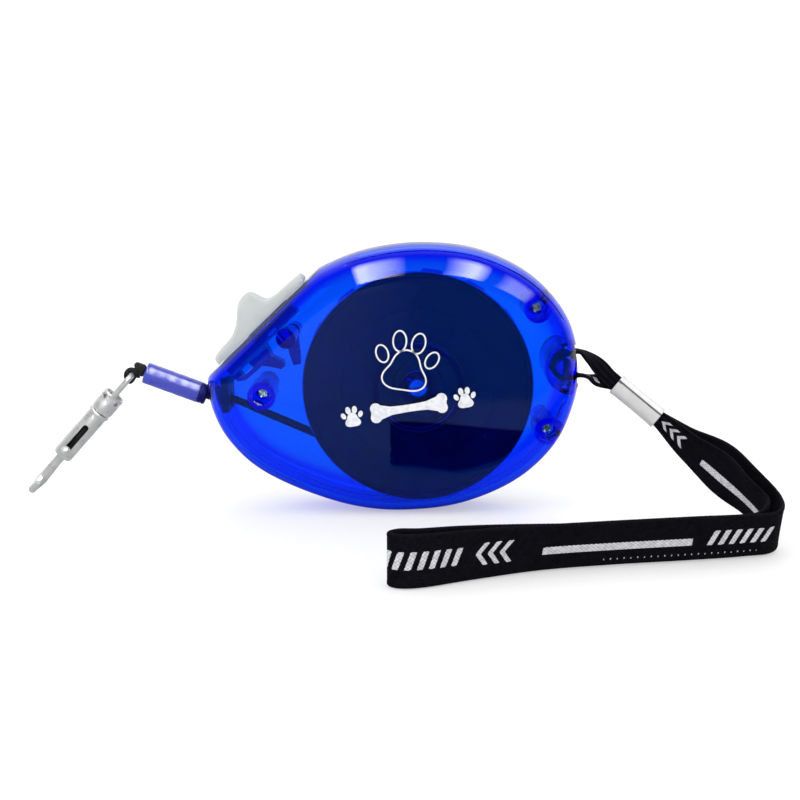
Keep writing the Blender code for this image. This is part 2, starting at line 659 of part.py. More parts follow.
def lead_point(distance):
    """A point on the cord outside the housing, measured from the nose."""
    return NOSE + LEAD_OUT * distance


def make_cord_run():
    """The stretch inside the housing, from the pack through the guide."""
    bend = [(-52.8, 35.1), (-55.6, 35.55), (-58.0, 35.7)]
    knots = [RUN_START + RUN_OUT * d * MM for d in (0.0, 20.0, 40.0, 48.0)]
    knots += [Vector((x, 0, z)) * MM for x, z in bend]
    rod("cord_run", curve_through(knots, 2), CORD_RADIUS, "black_cord")


def make_lead_end():
    """The cord outside the nose, its collar and sleeve, and the loop through the hook's eye."""
    rod("lead_cord", [lead_point(d * MM) for d in (0.0, 8.0, 16.0, 22.0)], CORD_RADIUS, "black_cord")
    bore = CORD_RADIUS + GAP
    collar = [(2.9 * MM, 2.9 * MM), (3.3 * MM, 2.5 * MM), (3.3 * MM, 0.4 * MM), (2.8 * MM, 0.0), (bore, 0.0),
              (bore, 2.9 * MM)]
    turned("sleeve_collar", collar, lead_point(1.2 * MM), LEAD_OUT, "collar_blue", 28)
    sleeve = [(2.9 * MM, 17.6 * MM), (3.25 * MM, 17.2 * MM), (3.25 * MM, 0.0), (bore, 0.0), (bore, 17.6 * MM)]
    turned("cord_sleeve", sleeve, lead_point(4.4 * MM), LEAD_OUT, "sleeve_blue", 28)
    make_cord_loop()


def hook_point(distance, side=0.0, lift=0.0):
    """A point along the hook's axis, moved along Y by side and square to both by lift."""
    square = HOOK_DOWN.cross(Vector((0, 1, 0)))
    return HOOK_TOP + HOOK_DOWN * distance + Vector((0, side, 0)) + square * lift


def make_cord_loop():
    """The cord's end: a ring round the eye's top bar, drawn up into a knot."""
    middle = hook_point(EYE_WIRE)
    ring = []
    for i in range(16):
        angle = 2 * pi * i / 16
        ring.append(middle + Vector((cos(angle), 0, sin(angle))) * 2.0 * MM)
    loop = rod("cord_loop", ring, 0.75 * MM, "black_cord", closed=True)
    knot_centre = lead_point(24.4 * MM) + Vector((0.3 * MM, 0, 0.3 * MM))
    bm = bmesh.new()
    bmesh.ops.create_uvsphere(bm, u_segments=16, v_segments=10, radius=1.0)
    bmesh.ops.scale(bm, vec=Vector((2.0, 2.2, 1.8)) * MM, verts=bm.verts)
    knot = from_bmesh("knot_form", bm)
    knot.location = knot_centre
    boolean(loop, "UNION", knot)


# ---------------------------------------------------------------- hook

def make_hook_eye():
    """A wire eye with a cup under it, which the hook's shank turns in."""
    half = 4.0 * MM
    corners = [
        (1.0, -half + 1.6 * MM), (1.0, half - 1.6 * MM), (1.5, half - 0.5 * MM), (2.6, half),
        (8.0, half - 0.2 * MM), (9.8, half - 1.4 * MM), (9.8, -half + 1.4 * MM),
        (8.0, -half + 0.2 * MM), (2.6, -half), (1.5, -half + 0.5 * MM),
    ]
    wire = [hook_point(distance * MM, side) for distance, side in corners]
    eye = rod("hook_eye", wire, EYE_WIRE, "nickel", closed=True)
    cup = [
        (3.6 * MM, -9.3 * MM), (3.6 * MM, -15.6 * MM), (3.2 * MM, -16.3 * MM), (1.55 * MM, -16.3 * MM),
        (1.55 * MM, -15.3 * MM), (2.8 * MM, -15.3 * MM), (2.8 * MM, -9.3 * MM),
    ]
    boolean(eye, "UNION", turned("eye_cup_form", cup, HOOK_TOP, -HOOK_DOWN, steps=28))


def make_hook_body():
    """The swivelling body: a headed shank, a collar, a slotted barrel and the curved hook."""
    profile = [
        (0.0, -12.8), (1.6, -12.8), (2.3, -13.3), (2.3, -14.7), (1.2, -14.9), (1.2, -16.7), (3.2, -16.7),
        (3.6, -17.0), (3.6, -17.6), (3.2, -18.0), (3.2, -35.4), (2.9, -36.0), (1.75, -36.0),
        (1.75, -21.0), (0.0, -21.0),
    ]
    points = [(r * MM, h * MM) for r, h in profile]
    body = turned("hook_body", points, HOOK_TOP, -HOOK_DOWN, "nickel", 22)
    curve = [
        (33.5, 2.5), (36.6, 4.6), (40.5, 8.2), (45.0, 9.9), (49.6, 8.6), (52.2, 4.9), (51.3, 1.2), (48.1, -0.2),
    ]
    bend = curve_through(curve, 2)
    wire = [hook_point(p.x * MM, p.y * MM) for p in bend]
    boolean(body, "UNION", rod("hook_bend_form", wire, 1.5 * MM))
    barrel_bore = cylinder("barrel_bore", 1.75 * MM, hook_point(21.0 * MM), hook_point(38 * MM))
    boolean(body, "DIFFERENCE", barrel_bore)
    matrix = frame_matrix(HOOK_TOP, HOOK_DOWN, Vector((0, 1, 0)), HOOK_DOWN.cross(Vector((0, 1, 0))))
    slot = block("knob_slot", (22.2 * MM, 34.8 * MM), (-4 * MM, 0), (-1.0 * MM, 1.0 * MM), matrix)
    boolean(body, "DIFFERENCE", slot)


def make_hook_bolt():
    """The sprung bolt that closes the hook, with its thumb knob."""
    profile = [(0.0, -28.4), (1.2, -28.4), (1.45, -28.7), (1.45, -44.6), (1.1, -45.4), (0.0, -45.8)]
    points = [(r * MM, h * MM) for r, h in profile]
    bolt = turned("hook_bolt", points, HOOK_TOP, -HOOK_DOWN, "nickel", 20)
    stem = cylinder("knob_stem", 0.65 * MM, hook_point(32.6 * MM), hook_point(32.6 * MM, -4.2 * MM), steps=12)
    boolean(bolt, "UNION", stem)
    bm = bmesh.new()
    bmesh.ops.create_uvsphere(bm, u_segments=16, v_segments=10, radius=1.5 * MM)
    knob = from_bmesh("knob_form", bm)
    knob.location = hook_point(32.6 * MM, -4.8 * MM)
    boolean(bolt, "UNION", knob)


def make_bolt_spring():
    """The wire spring behind the bolt."""
    turns, steps = 6, 8
    start, end = 21.3 * MM, 28.1 * MM
    square = HOOK_DOWN.cross(Vector((0, 1, 0)))
    points = []
    for i in range(turns * steps + 1):
        angle = 2 * pi * i / steps
        along = start + (end - start) * i / (turns * steps)
        points.append(hook_point(along) + (Vector((0, 1, 0)) * cos(angle) + square * sin(angle)) * 1.2 * MM)
    rod("bolt_spring", points, 0.22 * MM, "spring_steel", resolution=0)


# ---------------------------------------------------------------- strap

def crimp_point(along, layer):
    """A point in the crimp: along it from its middle, and in the front (-1) or back (1) layer."""
    thickness_way = CRIMP_ALONG.cross(CRIMP_WIDTH_WAY).normalized()
    if thickness_way.y < 0:
        thickness_way = -thickness_way
    return CRIMP_CENTRE + CRIMP_ALONG * along + thickness_way * (layer * LAYER_OFFSET)


def strap_knot(point, width, way):
    return (*point, width, *way)


def loop_knots(layer):
    """One layer of the wrist loop: lean is how far its upper edge tips towards -Y, or None on the slope."""
    knots = []
    for x, y, z, width, lean in layer:
        if lean is None:
            way = SLOPE_WIDTH_WAY
        else:
            way = Vector((0, -sin(radians(lean)), cos(radians(lean))))
        knots.append(strap_knot(Vector((x, y, z)) * MM, width * MM, way))
    return knots


def strap_route():
    """The strap's middle line, its width there, and the way its width points."""
    gathered, way = GATHERED_WIDTH, CRIMP_WIDTH_WAY
    half = CRIMP_LENGTH / 2
    across_way = Vector((0, 1, 0))
    tilted_way = Vector((0, 1, -0.14)).normalized()
    radius = POST_RADIUS + GAP + STRAP_THICKNESS / 2 + 0.1 * MM
    knots = [strap_knot(crimp_point(END_GAP / 2, 1), gathered, way),
             strap_knot(crimp_point(half, 1), gathered, way)]
    knots += loop_knots(LOOP_OUTER)
    knots += loop_knots(LOOP_INNER)
    # Front layer of the crimp, up to the post, round it and into the back layer
    knots.append(strap_knot(crimp_point(half, -1), gathered, way))
    knots.append(strap_knot(crimp_point(-half, -1), gathered, way))
    for x, y, z, width, turn in TAB_UPPER:
        way_here = tilted_way.lerp(way, turn).normalized()
        knots.append(strap_knot(Vector((x, y, z)) * MM, width * MM, way_here))
    for angle in (90, 135, 180, 225, 270):
        around = Vector((cos(radians(angle)), 0, sin(radians(angle))))
        knots.append(strap_knot(POST + around * radius, STRAP_WIDTH, across_way))
    for x, y, z, width, turn in TAB_LOWER:
        way_here = tilted_way.lerp(way, turn).normalized()
        knots.append(strap_knot(Vector((x, y, z)) * MM, width * MM, way_here))
    knots.append(strap_knot(crimp_point(-half, 1), gathered, way))
    knots.append(strap_knot(crimp_point(-END_GAP / 2, 1), gathered, way))
    return curve_through(knots, 3)


def make_wrist_strap():
    """One webbing band, swept along its route with the width turning as it twists."""
    route = strap_route()
    bm = bmesh.new()
    rings = []
    for i, knot in enumerate(route):
        point = Vector(knot[0:3])
        ahead = Vector(route[min(i + 1, len(route) - 1)][0:3])
        behind = Vector(route[max(i - 1, 0)][0:3])
        along = (ahead - behind).normalized()
        way = Vector(knot[4:7])
        way = (way - along * way.dot(along)).normalized()
        thick_way = along.cross(way)
        ring = []
        for a, b in ((-1, -1), (1, -1), (1, 1), (-1, 1)):
            ring.append(bm.verts.new(point + way * (a * knot[3] / 2) + thick_way * (b * STRAP_THICKNESS / 2)))
        rings.append(ring)
    for lower, upper in zip(rings, rings[1:]):
        for i in range(4):
            bm.faces.new((lower[i - 1], lower[i], upper[i], upper[i - 1]))
    bm.faces.new(rings[0])
    bm.faces.new(rings[-1])
    from_bmesh("wrist_strap", bm, "black_webbing")


def make_strap_crimp():
    """A flattened metal ferrule round both layers of the strap."""
    thickness_way = CRIMP_ALONG.cross(CRIMP_WIDTH_WAY).normalized()
    matrix = frame_matrix(CRIMP_CENTRE, CRIMP_WIDTH_WAY, thickness_way,
                          CRIMP_WIDTH_WAY.cross(thickness_way))
    crimp = plate("strap_crimp", rounded_box(6.9 * MM, 5.2 * MM, 1.7 * MM), matrix, CRIMP_LENGTH, "nickel")
    hollow = plate("crimp_hollow", rounded_box(6.1 * MM, 4.0 * MM, 1.0 * MM), matrix, CRIMP_LENGTH + 4 * MM)
    boolean(crimp, "DIFFERENCE", hollow)


def rounded_box(width, height, radius):
    points = []
    for corner, (sx, sy) in enumerate(((1, 1), (-1, 1), (-1, -1), (1, -1))):
        centre = (sx * (width / 2 - radius), sy * (height / 2 - radius))
        for step in range(5):
            angle = radians(90 * corner + 22.5 * step)
            points.append((centre[0] + radius * cos(angle), centre[1] + radius * sin(angle)))
    return points


SHARED = {"button_slot": button_slot(), "cord_hole": cord_hole(3.5 * MM, "nose_hole")}
make_front_shell()
make_rear_shell()
make_case_screws()
make_cord_guide()
make_reel_axle()
make_pawl_pin()
make_reel_drum()
make_reel_cover()
make_spring_cover()
make_mainspring()
make_cord_pack()
make_brake_button()
make_brake_slider()
make_brake_pawl()
make_cord_run()
make_lead_end()
make_hook_eye()
make_hook_body()
make_hook_bolt()
make_bolt_spring()
make_wrist_strap()
make_strap_crimp()
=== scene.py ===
"""Looks of the retractable leash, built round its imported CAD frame.

A clear blue housing with a dark reel, a white thumb slide, a braided cord with a vinyl sleeve and
a nickel trigger snap, and a black woven wrist strap. Metres; lengths that end in * MM are in mm.
"""

from math import cos, pi, radians, sin, sqrt

import bmesh
import bpy
import numpy as np
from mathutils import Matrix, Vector


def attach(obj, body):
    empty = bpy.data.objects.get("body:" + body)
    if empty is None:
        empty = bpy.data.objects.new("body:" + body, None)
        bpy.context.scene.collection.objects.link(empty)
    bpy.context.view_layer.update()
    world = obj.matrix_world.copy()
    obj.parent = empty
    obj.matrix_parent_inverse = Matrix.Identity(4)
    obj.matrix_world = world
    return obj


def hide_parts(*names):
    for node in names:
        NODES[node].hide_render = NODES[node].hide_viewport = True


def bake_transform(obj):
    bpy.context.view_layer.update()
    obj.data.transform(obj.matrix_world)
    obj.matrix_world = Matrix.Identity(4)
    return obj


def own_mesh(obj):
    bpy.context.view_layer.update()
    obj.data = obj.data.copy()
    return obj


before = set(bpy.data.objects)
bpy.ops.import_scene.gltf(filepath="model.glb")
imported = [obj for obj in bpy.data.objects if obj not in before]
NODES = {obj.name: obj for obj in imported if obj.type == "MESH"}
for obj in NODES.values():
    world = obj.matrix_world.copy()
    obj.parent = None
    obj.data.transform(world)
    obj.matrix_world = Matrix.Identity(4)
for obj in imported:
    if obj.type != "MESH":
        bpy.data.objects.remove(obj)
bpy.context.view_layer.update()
MM = 0.001
X, Y, Z = Vector((1, 0, 0)), Vector((0, 1, 0)), Vector((0, 0, 1))

# ---- sizes shared with the CAD

HALF_DEPTH, ROUNDING, ROUND_POWER, WALL = 15.0, 12.0, 2.6, 1.8
SEAM = 0.15
OUTLINE_KNOTS = [
    (-57.7, 44.3), (-58.9, 40.6), (-57.4, 32.0), (-52.5, 22.5), (-43.2, 13.4), (-28.6, 5.9),
    (-12.0, 0.7), (4.0, -0.6), (22.2, 1.8), (39.3, 9.3), (51.2, 20.4), (57.2, 33.2),
    (59.0, 46.1), (55.1, 61.6), (43.8, 74.6), (27.2, 82.7), (9.0, 84.9), (-8.0, 82.8),
    (-21.0, 78.0), (-28.8, 72.8), (-42.0, 60.1), (-53.0, 49.4),
]
FACE_START = Vector((-56.0, 0.0, 45.3))
FACE_ANGLE = radians(44.0)
FACE_ALONG = Vector((cos(FACE_ANGLE), 0.0, sin(FACE_ANGLE)))
FACE_OUT = Vector((-sin(FACE_ANGLE), 0.0, cos(FACE_ANGLE)))
SCREW_PLACES = [(-40.9, 38.2), (44.8, 65.5), (48.6, 27.0)]
AXIS = Vector((7.85, 0.0, 40.7))
PAWL_PIVOT = Vector((-33.0, 6.3, 56.2))
POST = Vector((54.2, 0.0, 46.5))
POCKET_CENTRE = Vector((55.9, 0.0, 46.6))

CORD_RADIUS, WIND_RADIUS = 1.25, 28.7
RUN_ANGLE = radians(23.5)
RUN_OUT = Vector((-cos(RUN_ANGLE), 0.0, sin(RUN_ANGLE)))
RUN_START = AXIS + Vector((-sin(RUN_ANGLE), 0.0, -cos(RUN_ANGLE))) * WIND_RADIUS
RUN_BEND = [(-52.8, 0, 35.1), (-55.6, 0, 35.55), (-58.0, 0, 35.7)]
LEAD_ANGLE = radians(20.5)
LEAD_OUT = Vector((-cos(LEAD_ANGLE), 0.0, sin(LEAD_ANGLE)))
NOSE = Vector((-58.4, 0.0, 35.7))
GUIDE_IN = Vector((-50.0, 0.0, 34.5))
GUIDE_WAY = (NOSE - GUIDE_IN).normalized()

HOOK_TOP = Vector((-82.8, 0.0, 43.1))
HOOK_ANGLE = radians(48.1)
HOOK_DOWN = Vector((-cos(HOOK_ANGLE), 0.0, -sin(HOOK_ANGLE)))
HOOK_UP, HOOK_SQUARE = -HOOK_DOWN, HOOK_DOWN.cross(Y)

STRAP_WIDTH, STRAP_THICKNESS, GATHERED_WIDTH = 15.0, 1.2, 5.2
CRIMP_CENTRE = Vector((77.3, -6.0, 35.3))
CRIMP_ALONG = Vector((0.762, -0.196, -0.617)).normalized()
CRIMP_WIDTH_WAY = Vector((0.625, 0.05, 0.779)).normalized()
CRIMP_THICK_WAY = CRIMP_ALONG.cross(CRIMP_WIDTH_WAY).normalized()
CRIMP_LENGTH, LAYER_OFFSET, END_GAP = 17.0, 0.85, 0.8
SLOPE_WIDTH_WAY = Vector((0.42, -0.42, 0.8)).normalized()
LOOP_OUTER = [
    (92.0, -12.4, 23.9, 9.5, None), (100.6, -23.0, 19.2, 14.0, None), (108.4, -36.6, 14.3, 15.0, 30),
    (112.2, -49.0, 9.3, 15.0, 22), (109.2, -58.2, 7.45, 15.0, 24), (99.3, -61.9, 7.35, 15.0, 22),
    (83.4, -65.1, 7.4, 15.0, 20), (61.6, -69.2, 7.4, 15.0, 20), (40.8, -74.2, 7.45, 15.0, 18),
    (22.0, -81.4, 7.6, 15.0, 10), (8.6, -87.0, 7.65, 15.0, 2), (2.0, -87.6, 7.65, 15.0, 0),
]
LOOP_INNER = [
    (-0.8, -84.8, 7.65, 15.0, 0), (2.0, -82.0, 7.65, 15.0, 0), (8.0, -81.2, 7.65, 15.0, 4),
    (20.0, -76.0, 7.45, 15.0, 15), (39.8, -68.8, 6.9, 15.0, 28), (60.6, -63.5, 6.5, 15.0, 35),
    (79.4, -60.1, 6.5, 15.0, 35), (93.2, -57.6, 6.5, 15.0, 35), (103.8, -54.6, 6.9, 15.0, 34),
    (108.6, -47.8, 8.9, 15.0, 32), (105.2, -38.0, 13.0, 15.0, 34), (99.2, -27.4, 17.6, 13.0, None),
    (91.8, -17.0, 23.0, 9.5, None),
]
TAB_UPPER = [(67.2, -2.9, 43.9, 5.2, 0.8), (63.0, -1.3, 48.0, 7.6, 0.34), (59.6, -0.2, 50.2, 13.0, 0.06)]
TAB_LOWER = [(59.6, -0.4, 42.6, 14.4, 0.0), (63.2, -1.2, 42.2, 10.5, 0.1), (67.0, -2.6, 41.4, 5.8, 0.6)]


# ---- camera, floor and lights

def make_camera():
    """The photograph's view: 11 degrees above the horizon, straight at the front shell."""
    elevation, distance, target = radians(11.0), 480.0, Vector((2.24, 0.0, 34.45))
    data = bpy.data.cameras.new("camera")
    data.sensor_width = 36.0
    data.lens = 67.4
    camera = bpy.data.objects.new("camera", data)
    bpy.context.scene.collection.objects.link(camera)
    camera.location = (target + Vector((0, -cos(elevation), sin(elevation))) * distance) * MM
    camera.rotation_euler = (radians(90) - elevation, 0, 0)
    bpy.context.scene.camera = camera


def softbox(name, place, target, size, power):
    data = bpy.data.lights.new(name, "AREA")
    data.shape = "RECTANGLE"
    data.size, data.size_y = size
    data.energy = power
    light = bpy.data.objects.new(name, data)
    bpy.context.scene.collection.objects.link(light)
    light.location = place
    light.visible_glossy = False
    light.rotation_euler = (Vector(target) - Vector(place)).to_track_quat("-Z", "Y").to_euler()


class Graph:
    """A material's or world's node tree, with short calls to add and join nodes."""

    def __init__(self, owner):
        owner.use_nodes = True
        self.owner, self.tree = owner, owner.node_tree
        self.shader = self.tree.nodes.get("Principled BSDF")

    def add(self, kind, inputs=(), **settings):
        node = self.tree.nodes.new("ShaderNode" + kind)
        for key, value in settings.items():
            setattr(node, key, value)
        for key, value in dict(inputs).items():
            self.put(node.inputs[key], value)
        return node

    def put(self, socket, value):
        if isinstance(value, bpy.types.NodeSocket):
            self.tree.links.new(value, socket)
        else:
            socket.default_value = value

    def shade(self, name, value):
        """Sets one of the shader's own sockets."""
        self.put(self.shader.inputs[name], value)

    def math(self, operation, a, b=0.0):
        return self.add("Math", {0: a, 1: b}, operation=operation).outputs[0]

    def plus(self, a, b):
        return self.math("ADD", a, b)

    def times(self, a, b):
        return self.math("MULTIPLY", a, b)

    def parts(self, vector):
        """The vector's x, y and z."""
        return self.add("SeparateXYZ", {0: vector}).outputs

    def place(self, kind="Object"):
        return self.add("TexCoord").outputs[kind]

    def ramp(self, value, low, high, out_low=0.0, out_high=1.0):
        """value carried from low..high to out_low..out_high, and held outside."""
        node = self.add("MapRange", {0: value, 1: low, 2: high, 3: out_low, 4: out_high})
        return node.outputs[0]

    def blend(self, share, a, b):
        node = self.add("Mix", {0: share, 6: a, 7: b}, data_type="RGBA")
        return node.outputs[2]

    def noise(self, scale, detail=2.0, stretch=None):
        """Noise in the object's own coordinates, in cycles per metre."""
        place = self.place()
        if stretch:
            place = self.add("Mapping", {0: place, 3: stretch}).outputs[0]
        return self.add("TexNoise", {"Vector": place, "Scale": scale, "Detail": detail}).outputs[0]

    def between(self, value, low, high, soft):
        """One where value is between low and high, falling to nothing over soft."""
        return self.times(self.ramp(value, low - soft, low), self.ramp(value, high, high + soft, 1.0, 0.0))

    def mirror_ray(self):
        """One for rays that a surface has mirrored, and nothing for those that came through it."""
        path = self.add("LightPath")
        through = self.math("SUBTRACT", 1.0, path.outputs["Is Transmission Ray"])
        return self.times(path.outputs["Is Glossy Ray"], through)

    def bump(self, height, strength, distance):
        node = self.add("Bump", {"Strength": strength, "Distance": distance, "Height": height})
        self.shade("Normal", node.outputs[0])


def make_floor():
    """A white floor; mirrored rays see it dark in front of the leash and pale behind."""
    bm = bmesh.new()
    bmesh.ops.create_grid(bm, x_segments=4, y_segments=4, size=6.0)
    mesh = bpy.data.meshes.new("floor")
    bm.to_mesh(mesh)
    bm.free()
    floor_piece = bpy.data.objects.new("floor", mesh)
    bpy.context.scene.collection.objects.link(floor_piece)
    floor_piece.location.z = -0.0002
    graph = Graph(bpy.data.materials.new("pale_floor"))
    sideways, across, _ = graph.parts(graph.place())
    far = graph.blend(graph.ramp(sideways, -0.06, 0.02), (0.22, 0.25, 0.3, 1), (0.004, 0.005, 0.01, 1))
    front = graph.blend(graph.ramp(across, -0.215, -0.2), far, (0.13, 0.14, 0.15, 1))
    mirrored = graph.blend(graph.ramp(across, 0.02, 0.15), front, (0.8, 0.82, 0.85, 1))
    graph.shade("Base Color", graph.blend(graph.mirror_ray(), (0.6, 0.6, 0.6, 1), mirrored))
    graph.shade("Emission Color", (1.0, 1.0, 1.0, 1.0))
    graph.shade("Emission Strength", graph.ramp(graph.mirror_ray(), 0.0, 1.0, 0.42, 0.0))
    graph.shade("Roughness", 0.9)
    graph.shade("Specular IOR Level", 0.1)
    mesh.materials.append(graph.owner)


def make_world():
    """White for everything but mirrored rays, which see a studio: dark in front, two long
    overhead softboxes with a gap between them, and a pale backdrop behind."""
    world = bpy.data.worlds.new("studio")
    bpy.context.scene.world = world
    graph = Graph(world)
    background = graph.tree.nodes["Background"]
    x, y, z = graph.parts(graph.place("Generated"))
    room = graph.blend(graph.ramp(y, 0.05, 0.75), (0.03, 0.035, 0.05, 1), (0.8, 0.83, 0.9, 1))
    side = graph.math("DIVIDE", x, graph.plus(graph.math("MAXIMUM", z, 0.0), 0.19))
    left = graph.times(graph.ramp(side, -0.37, -0.33), graph.ramp(side, -0.28, -0.08, 1.0, 0.0))
    right = graph.times(graph.ramp(side, 0.1, 0.3), graph.ramp(side, 0.33, 0.42, 1.0, 0.0))
    corner = graph.times(graph.between(side, 0.6, 0.85, 0.1), 0.3)
    boxes = graph.times(graph.plus(graph.plus(left, right), corner), graph.ramp(z, 0.2, 0.26))
    boxes = graph.times(boxes, graph.ramp(y, -0.3, 0.1, 15.0, 0.0))
    boxes = graph.add("CombineXYZ", {0: boxes, 1: boxes, 2: boxes}).outputs[0]
    studio = graph.add("Mix", {0: 1.0, 6: room, 7: boxes}, data_type="RGBA", blend_type="ADD").outputs[2]
    graph.put(background.inputs[0], graph.blend(graph.mirror_ray(), (1.0, 1.0, 1.0, 1), studio))
    background.inputs[1].default_value = 1.08


def make_stage():
    make_camera()
    make_floor()
    make_world()
    softbox("box_left", (-0.5, -0.35, 0.5), (0, 0, 0.04), (0.3, 0.3), 0.8)
    softbox("box_back", (0.1, 0.6, 0.55), (0, 0, 0.05), (0.6, 0.2), 1.5)
    bpy.context.scene.view_settings.view_transform = "Standard"


# ---- materials

def new_graph(name, color, roughness, metallic=0.0, **sockets):
    graph = Graph(bpy.data.materials.new(name))
    values = {"Base Color": (*color, 1.0), "Roughness": roughness, "Metallic": metallic, **sockets}
    for key, value in values.items():
        graph.shade(key, value)
    return graph


def shade_between(graph, share, dark, light):
    """Base colour from dark to light."""
    graph.shade("Base Color", graph.blend(share, (*dark, 1), (*light, 1)))


def rough_between(graph, share, low, high):
    graph.shade("Roughness", graph.ramp(share, 0.3, 0.7, low, high))


def clear_plastic():
    """Clear blue moulding: tinted at its faces, with a painted deeper blue round the rim that stands in for the
    longer light path there, and faint flow marks.
    """
    graph = new_graph("clear_blue_shell", (0.05, 0.38, 1.0), 0.03, **{"Transmission Weight": 1.0, "IOR": 1.49})
    smudge = graph.noise(90.0, 4.0)
    scratch = graph.noise(300.0, 3.0, stretch=(1.0, 1.0, 6.0))
    wear = graph.times(graph.ramp(smudge, 0.5, 0.75), graph.ramp(scratch, 0.45, 0.7))
    graph.shade("Roughness", graph.ramp(wear, 0.0, 1.0, 0.012, 0.05))
    tint = graph.blend(graph.noise(14.0, 1.0), (0.04, 0.36, 0.98, 1), (0.07, 0.42, 1.0, 1))
    # painted shade: the tint deepens where the wall turns from the front, standing in for the longer light path
    # through the rim
    turned = graph.ramp(graph.math("ABSOLUTE", graph.parts(graph.place("Normal"))[1]), 0.88, 0.55)
    graph.shade("Base Color", graph.blend(turned, tint, (0.02, 0.1, 0.95, 1)))
    graph.bump(graph.noise(35.0, 1.0), 0.05, 0.0004)
    clear = graph.add("BsdfTransparent", {0: (0.36, 0.62, 1.0, 1)})
    shadow = graph.add("LightPath").outputs["Is Shadow Ray"]
    mixed = graph.add("MixShader", {0: shadow, 1: graph.shader.outputs[0], 2: clear.outputs[0]})
    output = graph.tree.nodes["Material Output"]
    graph.put(output.inputs["Surface"], mixed.outputs[0])
    absorbing = graph.add("VolumeAbsorption", {0: (0.0, 0.76, 0.98, 1), 1: 900.0})
    graph.put(output.inputs["Volume"], absorbing.outputs[0])
    return graph.owner


def inner_blue():
    """The brake's own blue mouldings, thick enough to look solid."""
    graph = new_graph("inner_blue", (0.01, 0.03, 0.6), 0.2, **{"Transmission Weight": 0.45, "IOR": 1.49})
    shade_between(graph, graph.noise(220.0, 3.0), (0.001, 0.003, 0.5), (0.002, 0.008, 0.72))
    rough_between(graph, graph.noise(500.0), 0.12, 0.3)
    return graph.owner


def moulded(name, dark, light, roughness=(0.3, 0.5), **sockets):
    """Moulded plastic with a fine grain and a little uneven colour."""
    graph = new_graph(name, light, roughness[0], **sockets)
    shade_between(graph, graph.ramp(graph.noise(120.0, 4.0), 0.3, 0.7), dark, light)
    rough_between(graph, graph.noise(260.0, 3.0), *roughness)
    graph.bump(graph.noise(1400.0), 0.35, 0.00004)
    return graph.owner


def reel_plastic(rim):
    """Dark moulding with faint turning rings, and either specks of dust or a clear blue rim."""
    graph = new_graph("reel_rimmed" if rim else "reel_dark", (0.03, 0.05, 0.09), 0.3,
                      **{"Specular IOR Level": 0.15})
    place = graph.add("VectorMath", {0: graph.place(), 1: tuple(AXIS * MM)}, operation="SUBTRACT").outputs[0]
    flat = graph.add("VectorMath", {0: place, 1: (1, 0, 1)}, operation="MULTIPLY").outputs[0]
    radius = graph.add("VectorMath", {0: flat}, operation="LENGTH").outputs["Value"]
    rings = graph.math("SINE", graph.times(radius, 2 * pi / 0.0011))
    base = graph.blend(graph.ramp(graph.noise(60.0, 4.0), 0.3, 0.7),
                       (0.003, 0.004, 0.05, 1), (0.008, 0.01, 0.085, 1))
    if rim:
        edge = graph.ramp(radius, 0.0334, 0.0338)
        graph.shade("Base Color", graph.blend(edge, base, (0.02, 0.2, 0.9, 1)))
        graph.shade("Transmission Weight", graph.times(edge, 0.8))
    else:
        speck = graph.ramp(graph.noise(1500.0, 1.0), 0.77, 0.8)
        graph.shade("Base Color", graph.blend(speck, base, (0.3, 0.45, 0.7, 1)))
    rough_between(graph, graph.noise(200.0, 3.0), 0.25, 0.45)
    graph.bump(rings, 0.12, 0.00003)
    return graph.owner


def metal(name, dark, light, roughness, brush=None, metallic=1.0):
    """Plated or bare metal: cloudy tone, fine scratches, and duller wear where noise says so."""
    graph = new_graph(name, light, roughness[0], metallic)
    cloud = graph.noise(350.0, 4.0)
    shade_between(graph, graph.ramp(cloud, 0.3, 0.65), dark, light)
    scratch = graph.noise(2200.0, 3.0, stretch=brush)
    both = graph.plus(graph.times(cloud, 0.6), graph.times(scratch, 0.4))
    graph.shade("Roughness", graph.ramp(both, 0.35, 0.65, *roughness))
    graph.bump(scratch, 0.3, 0.00003)
    return graph.owner


def braid_material(name, dark, light):
    """Nylon braid: the carriers are in the mesh, so this adds fibres and a dry sheen."""
    graph = new_graph(name, light, 0.7,
                      **{"Sheen Weight": 0.04, "Sheen Roughness": 0.4, "Specular IOR Level": 0.2})
    along, around, _ = graph.parts(graph.add("UVMap", uv_map="along").outputs[0])
    fibre = graph.math("SINE", graph.plus(graph.times(along, 9000.0), graph.times(around, 60.0)))
    shade_between(graph, graph.ramp(graph.noise(1600.0, 3.0), 0.35, 0.7), dark, light)
    graph.bump(graph.plus(fibre, graph.noise(4000.0)), 0.4, 0.00004)
    return graph.owner


def sleeve_vinyl():
    """Soft vinyl tube: milky blue, a little clear, faintly drawn along its length."""
    graph = new_graph("sleeve_vinyl", (0.12, 0.14, 0.75), 0.3,
                      **{"Transmission Weight": 0.15, "IOR": 1.45, "Subsurface Weight": 0.3,
                         "Subsurface Scale": 0.002, "Coat Weight": 1.0, "Coat Roughness": 0.16})
    drawn = graph.noise(500.0, 3.0, stretch=(0.15, 1.0, 1.0))
    shade_between(graph, graph.ramp(drawn, 0.3, 0.7), (0.055, 0.068, 0.5), (0.08, 0.1, 0.62))
    rough_between(graph, drawn, 0.25, 0.42)
    graph.bump(graph.noise(160.0, 2.0), 0.08, 0.0002)
    return graph.owner


